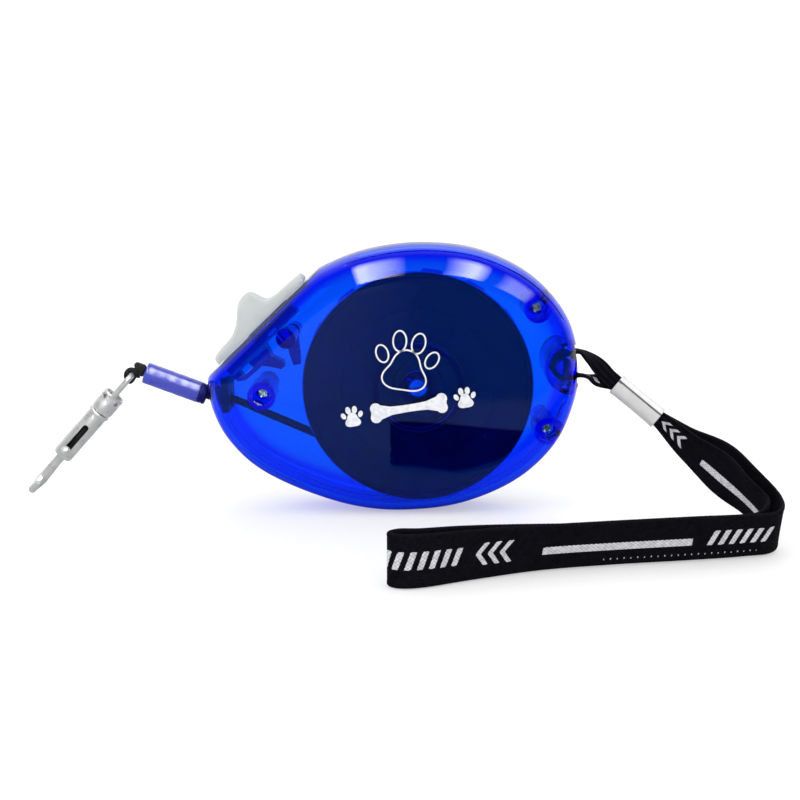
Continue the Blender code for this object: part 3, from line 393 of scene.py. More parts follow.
def webbing_material():
    """Plain-woven black polyester with white yarn where the mesh's mark attribute is positive."""
    graph = new_graph("woven_webbing", (0.006, 0.005, 0.008), 0.7,
                      **{"Sheen Weight": 0.01, "Sheen Roughness": 0.45, "Specular IOR Level": 0.06})
    along, across, _ = graph.parts(graph.add("UVMap", uv_map="along").outputs[0])
    warp = graph.math("SINE", graph.times(across, 2 * pi / 0.00105))
    weft = graph.math("SINE", graph.times(along, 2 * pi / 0.0013))
    over = graph.times(warp, weft)
    yarn = graph.math("SINE", graph.plus(graph.times(across, 2 * pi / 0.00026), graph.times(over, 0.6)))
    weave = graph.plus(graph.times(over, 0.7), graph.times(yarn, 0.3))
    tone = graph.plus(graph.times(weave, 0.35), graph.noise(700.0, 3.0))
    black = graph.blend(graph.ramp(tone, 0.2, 0.85), (0.0006, 0.0004, 0.001, 1), (0.0055, 0.0045, 0.009, 1))
    white = graph.blend(graph.ramp(tone, 0.2, 0.8), (0.4, 0.4, 0.43, 1), (0.74, 0.74, 0.77, 1))
    mark = graph.add("Attribute", attribute_name="mark").outputs["Fac"]
    frayed = graph.plus(mark, graph.times(weave, 0.05))
    graph.shade("Base Color", graph.blend(graph.ramp(frayed, -0.04, 0.06), black, white))
    graph.shade("Roughness", graph.ramp(tone, 0.0, 1.0, 0.6, 0.85))
    graph.bump(weave, 0.7, 0.00012)
    return graph.owner


def ink_material():
    graph = new_graph("white_ink", (0.85, 0.86, 0.88), 0.35)
    shade_between(graph, graph.ramp(graph.noise(900.0, 4.0), 0.35, 0.6), (0.72, 0.75, 0.8), (0.9, 0.91, 0.93))
    graph.bump(graph.noise(2500.0), 0.2, 0.00002)
    return graph.owner


def make_materials():
    satin = {"Specular IOR Level": 0.3, "Subsurface Weight": 0.15, "Subsurface Scale": 0.002}
    tin_brush = (4, 1, 1)
    return {
        "clear_blue": clear_plastic(),
        "inner_blue": inner_blue(),
        "reel": reel_plastic(False),
        "drum": reel_plastic(True),
        # painted highlight for the reel cover's rim lip
        "reel_rim": moulded("rim_painted_highlight", (0.08, 0.25, 0.6), (0.16, 0.4, 0.85), (0.2, 0.3)),
        "ink": ink_material(),
        "white": moulded("white_satin", (0.5, 0.53, 0.52), (0.58, 0.61, 0.6), (0.4, 0.55), **satin),
        "grey": moulded("dark_grey_moulding", (0.04, 0.06, 0.06), (0.09, 0.11, 0.11)),
        "collar": moulded("collar_vinyl", (0.001, 0.001, 0.07), (0.002, 0.003, 0.13), (0.35, 0.5),
                          **{"Specular IOR Level": 0.2}),
        "zinc": metal("zinc_plate", (0.35, 0.5, 0.55), (0.75, 0.9, 0.95), (0.15, 0.3)),
        "spring": metal("spring_steel", (0.25, 0.26, 0.29), (0.45, 0.46, 0.5), (0.2, 0.4)),
        "tin": metal("folded_tin", (0.54, 0.54, 0.53), (0.6, 0.6, 0.59), (0.55, 0.65), tin_brush, 0.12),
        # painted highlight: a lighter copy of the folded tin for the crimp's upper strip
        "tin_lap_highlight": metal("folded_tin_painted_highlight", (0.7, 0.7, 0.69), (0.76, 0.76, 0.75), (0.45, 0.55), tin_brush, 0.12),
        # painted shadow: a near-black copy of the tin for the fold step
        "tin_fold_shadow": metal("folded_tin_painted_fold_shadow", (0.07, 0.07, 0.07), (0.14, 0.14, 0.14), (0.5, 0.6), tin_brush, 0.2),
        "nickel": metal("worn_nickel", (0.74, 0.74, 0.72), (0.86, 0.86, 0.84), (0.26, 0.4), (1, 1, 4), 0.6),
        # painted shade for the inside of the hook's barrel
        "bore": moulded("bore_painted_shade", (0.002, 0.002, 0.002), (0.008, 0.008, 0.007), (0.6, 0.8)),
        "cord": braid_material("braided_nylon", (0.003, 0.003, 0.004), (0.022, 0.022, 0.026)),
        # painted light: a lighter copy of the black braid for the run inside the housing
        "cord_run_painted_light": braid_material("braid_painted_lighter", (0.05, 0.05, 0.055), (0.15, 0.15, 0.16)),
        "sleeve": sleeve_vinyl(),
        "webbing": webbing_material(),
    }


# ---- mesh helpers

def smooth_again(obj, sharp=38.0):
    obj.data.shade_smooth()
    obj.data.set_sharp_from_angle(angle=radians(sharp))
    return obj


def put_mesh(name, mesh, material=None, sharp=38.0):
    obj = bpy.data.objects.new(name, mesh)
    bpy.context.scene.collection.objects.link(obj)
    if material:
        mesh.materials.append(MATERIALS[material])
    return smooth_again(obj, sharp)


def solid(name, points, faces, material=None, sharp=38.0):
    """A mesh object from points in mm."""
    mesh = bpy.data.meshes.new(name)
    mesh.from_pydata([tuple(Vector(p) * MM) for p in points], [], faces)
    bm = bmesh.new()
    bm.from_mesh(mesh)
    bmesh.ops.recalc_face_normals(bm, faces=bm.faces)
    bm.to_mesh(mesh)
    bm.free()
    return put_mesh(name, mesh, material, sharp)


def placed(obj, body, slot=None, *nodes):
    """Rides a finished piece on its body and hides the CAD nodes it stands in for."""
    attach(obj, body)
    if nodes:
        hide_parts(*nodes)
    return obj


def applied(obj):
    """Bakes the modifiers into the mesh."""
    bpy.context.view_layer.update()
    graph = bpy.context.evaluated_depsgraph_get()
    mesh = bpy.data.meshes.new_from_object(obj.evaluated_get(graph), preserve_all_data_layers=True,
                                           depsgraph=graph)
    obj.modifiers.clear()
    obj.data = mesh
    return obj


def cut(obj, other, operation="DIFFERENCE"):
    """An exact Boolean, applied; the other object is used up."""
    modifier = obj.modifiers.new("cut", "BOOLEAN")
    modifier.operation, modifier.object, modifier.solver = operation, other, "EXACT"
    applied(obj)
    bpy.data.objects.remove(other, do_unlink=True)
    return obj


def joined(name, objects):
    """One mesh of several that don't touch."""
    bm = bmesh.new()
    for obj in objects:
        mesh = obj.data.copy()
        mesh.transform(obj.matrix_basis)
        bm.from_mesh(mesh)
        bpy.data.objects.remove(obj, do_unlink=True)
    mesh = bpy.data.meshes.new(name)
    bm.to_mesh(mesh)
    bm.free()
    return put_mesh(name, mesh)


def paint(obj, material, chosen):
    """Gives another material to the faces whose centres, in mm, are chosen."""
    obj.data.materials.append(MATERIALS[material])
    for face in obj.data.polygons:
        if chosen(face.center / MM):
            face.material_index = len(obj.data.materials) - 1


def circle(steps):
    """The cosine and sine of each of the steps round a turn."""
    return [(cos(2 * pi * i / steps), sin(2 * pi * i / steps)) for i in range(steps)]


def stacked(count, rings):
    """Quads that join rings of count points each, and the two ends."""
    faces = []
    for start in range(0, (rings - 1) * count, count):
        for i in range(count):
            a, b = start + i, start + (i + 1) % count
            faces.append([a, b, b + count, a + count])
    return faces + [list(range(count)), list(range((rings - 1) * count, rings * count))]


def basis(axis):
    """Two unit vectors square to the axis."""
    axis = Vector(axis).normalized()
    side = axis.cross(Y if abs(axis.y) < 0.9 else X).normalized()
    return side, axis.cross(side)


def lathe(name, profile, origin, axis, material=None, steps=64, sharp=38.0):
    """A turned piece; the profile is (radius, height along axis) in mm, closed if it ends off the axis."""
    side, other = basis(axis)
    axis = Vector(axis).normalized()
    points, rings = [], []
    for radius, height in profile:
        if radius < 1e-6:
            rings.append([len(points)] * steps)
            points.append(origin + axis * height)
            continue
        rings.append(list(range(len(points), len(points) + steps)))
        points += [origin + axis * height + (side * c + other * s) * radius for c, s in circle(steps)]
    pairs = list(zip(rings, rings[1:]))
    if profile[0][0] > 1e-6:
        pairs.append((rings[-1], rings[0]))
    faces = []
    for lower, upper in pairs:
        for i in range(steps):
            face = [lower[i - 1], lower[i], upper[i], upper[i - 1]]
            faces.append([v for k, v in enumerate(face) if v not in face[:k]])
    return solid(name, points, [face for face in faces if len(face) > 2], material, sharp)


def curve_through(knots, steps_each, closed=False):
    """A Catmull-Rom curve through knots that are tuples of any one length."""
    knots = [np.array(knot, float) for knot in knots]
    if closed:
        padded = [knots[-1]] + knots + knots[:2]
    else:
        padded = [2 * knots[0] - knots[1]] + knots + [2 * knots[-1] - knots[-2]]
    points = []
    for a, b, c, d in zip(padded, padded[1:], padded[2:], padded[3:]):
        for k in range(steps_each):
            t = k / steps_each
            cubic = (-a + 3 * b - 3 * c + d) * t ** 3
            square = (2 * a - 5 * b + 4 * c - d) * t ** 2
            points.append((cubic + square + (c - a) * t + 2 * b) / 2)
    if not closed:
        points.append(knots[-1])
    return np.array(points)


def arc_lengths(line):
    """How far along the line each of its points is."""
    return np.concatenate([[0], np.cumsum(np.linalg.norm(np.diff(line, axis=0), axis=1))])


def spaced(points, step, closed=False, size=3):
    """The curve read again at nearly equal steps of its first size coordinates."""
    line = np.vstack([points, points[:1]]) if closed else np.array(points)
    lengths = arc_lengths(line[:, :size])
    count = max(2, round(lengths[-1] / step))
    at = np.linspace(0, lengths[-1], count + 1)[:count if closed else count + 1]
    return np.stack([np.interp(at, lengths, column) for column in line.T], axis=1)


def unit(vectors):
    return vectors / np.linalg.norm(vectors, axis=1)[:, None]


def tangents_of(points, closed=False):
    """The way from each point's last neighbour to its next one."""
    ahead, behind = np.roll(points, -1, 0), np.roll(points, 1, 0)
    if not closed:
        ahead[-1], behind[0] = points[-1], points[0]
    return unit(ahead - behind)


def frames_along(points, closed=False):
    """For each point of the line, two unit vectors square to it that turn as little as can be."""
    tangents = [Vector(t) for t in tangents_of(points, closed)]
    side = basis(tangents[0])[0]
    frames = []
    for tangent in tangents:
        side = (side - tangent * side.dot(tangent)).normalized()
        frames.append((side, tangent.cross(side)))
    return frames


def tube(name, points, radius, material=None, sides=20, closed=False, relief=None):
    """A round tube in mm. radius is a number or one for each point; relief(arc, angle) stands proud."""
    points = np.array([tuple(p) for p in points], float)
    frames = frames_along(points, closed)
    arcs = arc_lengths(points)
    radii = np.full(len(points), radius) if np.isscalar(radius) else np.array(radius)
    verts, uvs = [], []
    for point, (side, other), arc, ring_radius in zip(points, frames, arcs, radii):
        for k in range(sides):
            angle = 2 * pi * k / sides
            out = ring_radius + (relief(arc, angle) if relief else 0.0)
            verts.append(Vector(point) + side * (out * cos(angle)) + other * (out * sin(angle)))
            uvs.append((arc * MM, k / sides))
    count = len(points)
    faces, corners = [], []
    for i in range(count if closed else count - 1):
        for k in range(sides):
            after, beyond = (k + 1) % sides, (i + 1) % count
            faces.append([i * sides + k, i * sides + after, beyond * sides + after, beyond * sides + k])
            corners += [(uvs[i * sides + k][0], k / sides), (uvs[i * sides + k][0], (k + 1) / sides),
                        (uvs[beyond * sides + k][0], (k + 1) / sides), (uvs[beyond * sides + k][0], k / sides)]
    if not closed:
        for first, turn in ((0, -1), ((count - 1) * sides, 1)):
            cap = list(range(first, first + sides))[::turn]
            faces.append(cap)
            corners += [uvs[v] for v in cap]
    mesh = bpy.data.meshes.new(name)
    mesh.from_pydata([tuple(v * MM) for v in verts], [], faces)
    layer = mesh.uv_layers.new(name="along")
    layer.data.foreach_set("uv", np.array(corners, np.float32).ravel())
    return put_mesh(name, mesh, material, 60.0)


def braid(pitch=3.4, depth=0.07):
    """The relief of a braided cord: two opposed sets of four carriers that pass over each other."""
    def relief(arc, angle):
        a = 4 * angle + 2 * pi * arc / pitch
        b = 4 * angle - 2 * pi * arc / pitch
        return depth * (abs(cos(a / 2)) + abs(cos(b / 2)) - 1.5)
    return relief


def prism(name, outline, origin, x_way, y_way, thickness):
    """A flat outline in mm, extruded half its thickness each way."""
    out = x_way.cross(y_way).normalized() * (thickness / 2)
    count = len(outline)
    points = [origin + x_way * x + y_way * y + out * s for s in (-1, 1) for x, y in outline]
    faces = [list(range(count))[::-1], list(range(count, 2 * count))]
    faces += [[i, (i + 1) % count, (i + 1) % count + count, i + count] for i in range(count)]
    return solid(name, points, faces)


def box_at(name, x, y, z, origin=Vector(), x_way=X, y_way=Y, z_way=Z):
    """A cutter over three (low, high) ranges in mm along three directions."""
    points = [origin + x_way * a + y_way * b + z_way * c for a in x for b in y for c in z]
    faces = [(0, 1, 3, 2), (4, 6, 7, 5), (0, 4, 5, 1), (2, 3, 7, 6), (0, 2, 6, 4), (1, 5, 7, 3)]
    return solid(name, points, faces)


def rod_y(name, radius, centre, low, high, steps=48):
    """A cylinder along Y."""
    return lathe(name, [(0, low), (radius, low), (radius, high), (0, high)],
                 Vector((centre[0], 0, centre[-1])), Y, steps=steps)


# ---- housing

RIM_TURNS = 20          # rings from the seam to the side face
OUTLINE_STEP = 1.15
GROOVE_TURN, GROOVE_DEPTH = 35.6, 0.32
GROOVE_ARCS = [(20.0, 111.0), (206.0, 229.0)]   # where the groove runs, in degrees round the housing


def flattened(x, z, inset):
    """Keeps a point behind the flat foot and the flat slanted face, both moved in by inset."""
    z = max(z, inset)
    out = (Vector((x, 0.0, z)) - FACE_START).dot(FACE_OUT) + inset
    if out > 0:
        x -= out * FACE_OUT.x
        z -= out * FACE_OUT.z
    return x, z


def half_body(name, side, inset, first_y, material=None):
    """A solid half of the housing's form, as a fine stack of outlines that close in to the side face."""
    outline = spaced(curve_through(OUTLINE_KNOTS, 24, closed=True), OUTLINE_STEP, closed=True, size=2)
    along = np.roll(outline, -1, 0) - np.roll(outline, 1, 0)
    outline = outline + unit(np.stack([-along[:, 1], along[:, 0]], axis=1)) * inset
    middle = np.array([0.0, 43.0])
    towards = unit(middle - outline)
    depth, rounding = HALF_DEPTH - inset, ROUNDING - 0.6 * inset
    heights, closings = [], []
    turns = [90.0 * step / RIM_TURNS for step in range(RIM_TURNS + 1)]
    sunk = [0.0] * len(turns)
    if inset == 0:
        turns = [turn for turn in turns if abs(turn - GROOVE_TURN) > 1.6]
        grooved = {GROOVE_TURN - 1.5: 0.0, GROOVE_TURN - 1.0: 1.0, GROOVE_TURN + 0.6: 1.0, GROOVE_TURN + 1.5: 0.0}
        turns = sorted(turns + list(grooved))
        sunk = [GROOVE_DEPTH * grooved.get(turn, 0.0) for turn in turns]
    for turn in map(radians, turns):
        heights.append(first_y if turn == 0 else max(depth * sin(turn) ** (2 / ROUND_POWER), first_y))
        closings.append(rounding * (1 - max(cos(turn), 0.0) ** (2 / ROUND_POWER)))
    heights += [depth, depth, depth]
    closings += [rounding + 0.8, rounding + 3.0, rounding + 12.0]
    sunk += [0.0] * 3
    angles = np.degrees(np.arctan2(outline[:, 1] - middle[1], outline[:, 0])) % 360
    share = np.zeros(len(outline))
    for low, high in GROOVE_ARCS:
        share = np.maximum(share, np.clip(np.minimum(angles - low, high - angles) / 3.0 + 0.5, 0, 1))
    points = []
    for y, closing, depth_here in zip(heights, closings, sunk):
        for point, way, amount in zip(outline, towards, share):
            x, z = flattened(*(point + way * (closing + 0.85 * depth_here * amount)), inset)
            points.append(Vector((x, side * (y - 0.5 * depth_here * amount), z)))
    return solid(name, points, stacked(len(outline), len(heights)), material, 30.0)


def make_shell(name, side):
    """One half of the clear housing: wall, bosses, bearing, pocket, slot and nose hole."""
    shell = half_body(name + "_clear", side, 0.0, SEAM, "clear_blue")
    cavity = half_body("cavity", side, WALL, -1.0)
    outer = HALF_DEPTH + 1.0
    boss_radius = 4.4 if side < 0 else 3.6

    def reach(low, high):
        return sorted((side * low, side * high))

    keep = [rod_y("boss", boss_radius, place, *reach(SEAM, outer)) for place in SCREW_PLACES]
    keep.append(rod_y("axle_boss", 5.4, AXIS, *reach(11.2 if side < 0 else 10.6, outer)))
    if side < 0:
        keep.append(lathe("bearing", [(12.8, -16), (14.0, -16), (14.0, -10.9), (12.8, -10.9)],
                          AXIS, Y, steps=96))
        keep.append(rod_y("pawl_boss", 3.0, PAWL_PIVOT, -16, 4.3))
    else:
        keep.append(rod_y("pawl_boss", 3.0, PAWL_PIVOT, 8.1, 16))
    keep.append(rod_y("pocket_wall", 8.4, POCKET_CENTRE, *reach(-1.0, 9.8), 72))
    for piece in keep:
        cut(cavity, piece)
    cut(shell, cavity)
    holes = []
    for place in SCREW_PLACES:
        if side < 0:
            holes.append(rod_y("recess", 2.6, place, -20, -6.0, 56))
            holes.append(rod_y("hole", 1.6, place, -6.5, 1.0, 32))
        else:
            holes.append(rod_y("pilot", 1.5, place, -1.0, 9.0, 32))
    holes.append(rod_y("axle_hole", 3.3, AXIS, *reach(0.0, 12.9)))
    low, high = (-4.0, 5.0) if side < 0 else (5.0, 11.5)
    holes.append(rod_y("pawl_hole", 1.3, PAWL_PIVOT, low, high, 24))
    holes.append(rod_y("pocket", 7.0, POCKET_CENTRE, *reach(-5.0, 8.4), 72))
    holes.append(box_at("button_slot", (14.2, 30.8), (-4.0, 2.0), (-3.2, 3.2), FACE_START,
                        FACE_ALONG, FACE_OUT, -Y))
    holes.append(lathe("nose_hole", [(0, 0), (3.5, 0), (3.5, 12.5), (0, 12.5)], GUIDE_IN, GUIDE_WAY, steps=48))
    for piece in holes:
        cut(shell, piece)
    if side > 0:
        cut(shell, rod_y("post", 2.7, POST, -8.1, 9.2), "UNION")
    smooth_again(shell, 30.0)
    return placed(shell, "housing", "clear_blue", name)


def turned_outline(points, x, z, turn, size=1.0):
    """The outline turned and scaled about its origin, then moved to x, z on the front face."""
    c, s = cos(turn), sin(turn)
    return [(x + size * (u * c - v * s), z + size * (u * s + v * c)) for u, v in points]


def paw_outlines(x, z, size, turn=0.0):
    """A generic paw print: a three-lobed pad and four toes."""
    pad = []
    for i in range(60):
        a = 2 * pi * i / 60
        reach = 0.29 + 0.045 * cos(3 * (a - pi / 2)) - 0.02 * cos(2 * a)
        pad.append((reach * cos(a) * 1.15, reach * sin(a) - 0.16))
    toes = [(-0.37, 0.08, 0.1, 0.145, 0.45), (-0.14, 0.3, 0.11, 0.165, 0.12),
            (0.14, 0.3, 0.11, 0.165, -0.12), (0.37, 0.08, 0.1, 0.145, -0.45)]
    shapes = [pad] + [turned_outline([(wide * c, high * s) for c, s in circle(40)], toe_x, toe_z, lean)
                      for toe_x, toe_z, wide, high, lean in toes]
    return [turned_outline(shape, x, z, turn, size) for shape in shapes]


def shrunk(outline, amount):
    """The outline moved inwards, for a drawn line of that width."""
    points = np.array(outline)
    along = np.roll(points, -1, 0) - np.roll(points, 1, 0)
    return (points + unit(np.stack([-along[:, 1], along[:, 0]], axis=1)) * amount).tolist()


def bone_outline(x, z, length, turn):
    """A generic bone: a waisted shaft with two lobes at each end."""
    half, lobe = length / 2, 1.75
    points = []
    for end in (1, -1):
        for number, (cx, cz) in enumerate(((half - lobe, -lobe * 0.8), (half - lobe * 0.9, lobe * 0.8))):
            start = -150 if number == 0 else -30
            for k in range(15):
                a = radians(start + 180 * k / 14)
                points.append((end * (cx + lobe * cos(a)), end * (cz + lobe * sin(a))))
        for k in range(1, 8):
            t = 1 - 2 * k / 8
            points.append((end * t * (half - 2.6 * lobe), end * (1.15 + 0.35 * t * t)))
    return turned_outline(points, x, z, turn)


def make_print():
    """White ink on the front face: a paw print over a bone and small paws, all generic."""
    shapes = [bone_outline(5.0, 34.8, 24.0, radians(9))]
    shapes += paw_outlines(-12.6, 32.0, 7.2, radians(9))
    shapes += paw_outlines(22.4, 38.0, 7.2, radians(9))
    front = Vector((0, -HALF_DEPTH - 0.03, 0))
    pieces = [prism("ink", outline, front, X, Z, 0.06) for outline in shapes]
    for outline in paw_outlines(4.2, 49.2, 21.0, radians(-8)):
        pieces.append(cut(prism("line", outline, front, X, Z, 0.06),
                          prism("hole", shrunk(outline, 0.5), front, X, Z, 0.6)))
    decal = joined("shell_print", pieces)
    decal.data.materials.append(MATERIALS["ink"])
    placed(decal, "housing", "white_plastic")


def finish_cad_node(name, material, bevel):
    """A CAD node that keeps its shape gets its material and rounded edges."""
    obj = NODES[name]
    for slot in obj.material_slots:
        slot.link = "OBJECT"
        slot.material = MATERIALS[material]
    weld = obj.modifiers.new("weld", "WELD")
    weld.merge_threshold = 0.002 * MM
    if bevel:
        rounded = obj.modifiers.new("round", "BEVEL")
        rounded.width, rounded.segments = bevel * MM, 2
        rounded.limit_method, rounded.angle_limit = "ANGLE", radians(40)


def make_inside():
    """The mouldings and metal inside the housing that keep their CAD shapes."""
    for name, material, bevel in (
            ("case_screw_1", "zinc", 0.08), ("case_screw_2", "zinc", 0.08), ("case_screw_3", "zinc", 0.08),
            ("cord_guide", "grey", 0.25), ("reel_axle", "zinc", 0.0), ("pawl_pin", "zinc", 0.0),
            ("brake_slider", "inner_blue", 0.2), ("brake_pawl", "inner_blue", 0.15), ("reel_drum", "drum", 0.1),
            ("mainspring", "spring", 0.0), ("spring_cover", "reel", 0.1)):
        finish_cad_node(name, material, bevel)


def make_reel_cover():
    """The smooth front flange with its rim lip, hub rings and shallow dishing; the lip carries a painted highlight.
    """
    profile = [
        (3.3, -8.6), (3.3, -9.9), (3.6, -10.2), (7.6, -10.2), (7.9, -10.35), (8.3, -10.8), (11.7, -10.8),
        (12.0, -10.5), (12.2, -10.2), (14.6, -10.15), (14.9, -10.0), (15.3, -10.15), (24.0, -10.05),
        (24.2, -9.95), (24.5, -10.05), (33.6, -10.05), (34.2, -10.1), (34.5, -10.4), (35.9, -10.4),
        (36.2, -10.15), (36.2, -8.9), (35.9, -8.6),
    ]
    cover = lathe("reel_cover_disc", profile, AXIS, Y, "reel", 180, 25.0)
    # painted highlight: the lip's outermost faces get a lighter blue that stands in for light caught on the
    # flange's edge
    paint(cover, "reel_rim", lambda centre: (centre - AXIS).xz.length > 35.95)
    placed(cover, "reel", "dark_plastic", "reel_cover")


def make_winding():
    """The wound cord: a core, a helix over it and closed outer turns for the free end to leave."""
    core = lathe("winding_core", [(19.4, -8.2), (24.9, -8.2), (24.9, 4.4), (19.4, 4.4)], AXIS, Y, "cord", 96)
    helix = []
    turns, radius = 4.0, WIND_RADIUS - 2.35 * CORD_RADIUS
    low, high = -8.3 + CORD_RADIUS, 4.5 - CORD_RADIUS
    steps = int(turns * 72)
    for i in range(steps + 1):
        a = 2 * pi * i / 72
        y = low + (high - low) * i / steps
        helix.append(AXIS + Vector((radius * cos(a), y, radius * sin(a))))
    wound = tube("winding_helix", helix, CORD_RADIUS, "cord", 14, relief=braid(depth=0.05))
    placed(core, "reel", "black_cord", "cord_pack")
    placed(wound, "reel", "black_cord")
    for number, y in enumerate((-5.1, -2.55, 0.0, 2.55)):
        ring = [AXIS + Vector((WIND_RADIUS * c, y, WIND_RADIUS * s)) for c, s in circle(120)]
        turn = tube(f"outer_turn_{number + 1}", ring, CORD_RADIUS - 0.06, "cord", 14, True, braid(depth=0.05))
        placed(turn, "reel", "black_cord")


def make_cord_run():
    """The cord's straight run from the reel to the guide, in a lighter painted copy of the black braid."""
    knots = [tuple(RUN_START + RUN_OUT * d) for d in (0.0, 20.0, 40.0, 48.0)] + RUN_BEND
    line = spaced(curve_through(knots, 12), 0.25)
    # painted light: the black cord is given a lighter grey here to stand in for how it looks lit behind the clear
    # shell
    run = tube("braided_run", line, CORD_RADIUS, "cord_run_painted_light", 28, relief=braid())
    placed(run, "housing", "black_cord", "cord_run")


# ---- brake slide

def make_button():
    """The white thumb slide: a saddle-shaped hump on a thin shoe, with rounded edges all over."""
    outline = [
        (1.9, 0.3), (39.4, 0.3), (39.8, 0.9), (39.8, 2.0), (38.8, 3.0), (31.5, 3.4), (27.6, 3.8), (26.0, 4.9),
        (25.1, 6.8), (24.5, 8.8), (23.5, 10.1), (21.8, 10.4), (19.8, 9.9), (17.8, 8.4), (15.0, 6.0),
        (12.4, 4.4), (9.6, 3.6), (4.2, 3.2), (2.4, 2.6), (1.8, 1.5),
    ]
    top = spaced(curve_through(outline[1:] + outline[:1], 8), 0.45, size=2)
    rows, half, rounding, middle = 15, 6.0, 1.3, 19.6
    points = []
    for k in range(rows):
        across = half * sin((-1 + 2 * k / (rows - 1)) * pi / 2)
        edge = max(0.0, abs(across) - (half - rounding)) / rounding
        drop = rounding * (1 - sqrt(max(0.0, 1 - edge * edge)))
        for x, y in top:
            lift = max(0.0, y - 0.3)
            hump = min(1.0, max(0.0, (y - 4.0) / 4.0))
            height = y - min(drop, lift * 0.5) - 0.35 * hump * (across / half) ** 2
            place = middle + (x - middle) * (1 - 0.012 * drop)
            points.append(FACE_START + FACE_ALONG * place + FACE_OUT * height + Y * across)
    button = solid("thumb_slide", points, stacked(len(top), rows), "white", 50.0)
    stem = box_at("stem", (15.2, 24.8), (-2.3, 0.8), (-2.7, 2.7), FACE_START, FACE_ALONG, FACE_OUT,
                  -Y)
    cut(button, stem, "UNION")
    smooth_again(button, 50.0)
    placed(button, "brake_slide", "white_plastic", "brake_button")


# ---- lead: cord, sleeve, loop

def lead_point(distance):
    return NOSE + LEAD_OUT * distance


def hook_point(distance, side=0.0, lift=0.0):
    """A point along the hook's axis, moved along Y by side and square to both by lift."""
    return HOOK_TOP + HOOK_DOWN * distance + Y * side + HOOK_SQUARE * lift


def make_lead():
    """The cord outside the nose, round the eye's top bar and back into its knot."""
    middle = hook_point(0.9)
    ring = [middle + Vector((cos(a), 0, sin(a))) * 1.8
            for a in [radians(-20 + 28 * i) for i in range(12)]]
    knots = [lead_point(d) for d in (0.0, 0.6, 1.2, 8.0, 16.0, 22.0, 24.2)] + ring[:-1] + [lead_point(24.6)]
    line = spaced(curve_through([tuple(k) for k in knots], 12), 0.25)
    arcs = arc_lengths(line)
    taper = np.interp(arcs, [0, 22.0, 24.5, arcs[-1]], [CORD_RADIUS, CORD_RADIUS, 0.85, 0.85])
    cord = tube("lead_braid", line, taper, "cord", 24, relief=braid(depth=0.06))
    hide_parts("lead_cord", "cord_loop")
    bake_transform(cord)
    return cord, line, arcs[-1]


def make_knot():
    """Two drawn-up turns of the cord round its own end."""
    centre = lead_point(24.3) + Vector((0.3, 0, 0.3))
    points = []
    side, other = basis(LEAD_OUT)
    for i in range(150):
        a = 2 * pi * i / 50
        along = -1.3 + 2.6 * i / 149 + 0.35 * sin(2 * a)
        reach = 1.15 + 0.12 * sin(3 * a)
        points.append(centre + LEAD_OUT * along + (side * cos(a) + other * sin(a)) * reach)
    knot = tube("cord_knot", points, 0.85, "cord", 16, relief=braid(pitch=2.6, depth=0.05))
    return placed(knot, "lead_end", "black_cord")


def make_sleeve():
    """The vinyl tube, with softened cut ends and a faint waist, and its darker collar."""
    bore = CORD_RADIUS + 0.3
    profile = [(bore, 0.0), (3.15, 0.0), (3.37, 0.08), (3.45, 0.3)]
    for i in range(1, 30):
        height = 0.3 + 17.6 * i / 30
        profile.append((3.45 - 0.035 * sin(height * 0.55) ** 2 - 0.02 * sin(height * 1.7), height))
    profile += [(3.4, 18.05), (3.25, 18.25), (3.05, 18.3), (bore, 18.3)]
    sleeve = lathe("vinyl_sleeve", profile, lead_point(3.7), LEAD_OUT, "sleeve", 96, 45.0)
    placed(sleeve, "lead_end", "sleeve_blue", "cord_sleeve")
    rim = [(bore, 0.0), (2.75, 0.0), (3.0, 0.1), (3.25, 0.4), (3.3, 0.7), (3.3, 1.05), (3.12, 1.2), (3.12, 1.4),
           (3.3, 1.55), (3.3, 2.45), (3.15, 2.8), (2.9, 2.9), (bore, 2.9)]
    collar = lathe("vinyl_collar", rim, lead_point(1.2), LEAD_OUT, "collar", 72, 45.0)
    placed(collar, "lead_end", "collar_blue", "sleeve_collar")
    return [sleeve, collar]


# ---- hook

def make_hook_eye():
    """The wire eye with the windowed cup that the snap turns in."""
    half = 4.0
    corners = [
        (1.0, -half + 1.6), (0.9, 0.0), (1.0, half - 1.6), (1.5, half - 0.5), (2.6, half), (8.0, half - 0.2),
        (9.8, half - 1.4), (9.9, 0.0), (9.8, -half + 1.4), (8.0, -half + 0.2), (2.6, -half), (1.5, -half + 0.5),
    ]
    line = spaced(curve_through([tuple(hook_point(d, s)) for d, s in corners], 10, closed=True), 0.35, True)
    eye = tube("snap_eye", line, 0.9, "nickel", 24, closed=True)
    cup = lathe("cup", [
        (3.35, -9.3), (3.5, -9.45), (3.6, -9.8), (3.5, -12.2), (3.6, -12.5), (3.6, -15.5), (3.5, -16.0),
        (3.2, -16.3), (1.55, -16.3), (1.55, -15.3), (2.8, -15.3), (2.8, -9.4),
    ], HOOK_TOP, HOOK_UP, steps=72)
    cut(eye, cup, "UNION")
    for lift in (-2.45, 2.45):
        cut(eye, box_at("cup_window", (10.4, 11.7), (-4.5, -0.4), (lift - 0.75, lift + 0.75),
                        HOOK_TOP, HOOK_DOWN, Y, HOOK_SQUARE))
    smooth_again(eye, 40.0)
    eye.data.materials.clear()
    eye.data.materials.append(MATERIALS["nickel"])
    return placed(eye, "hook_eye", "nickel", "hook_eye")


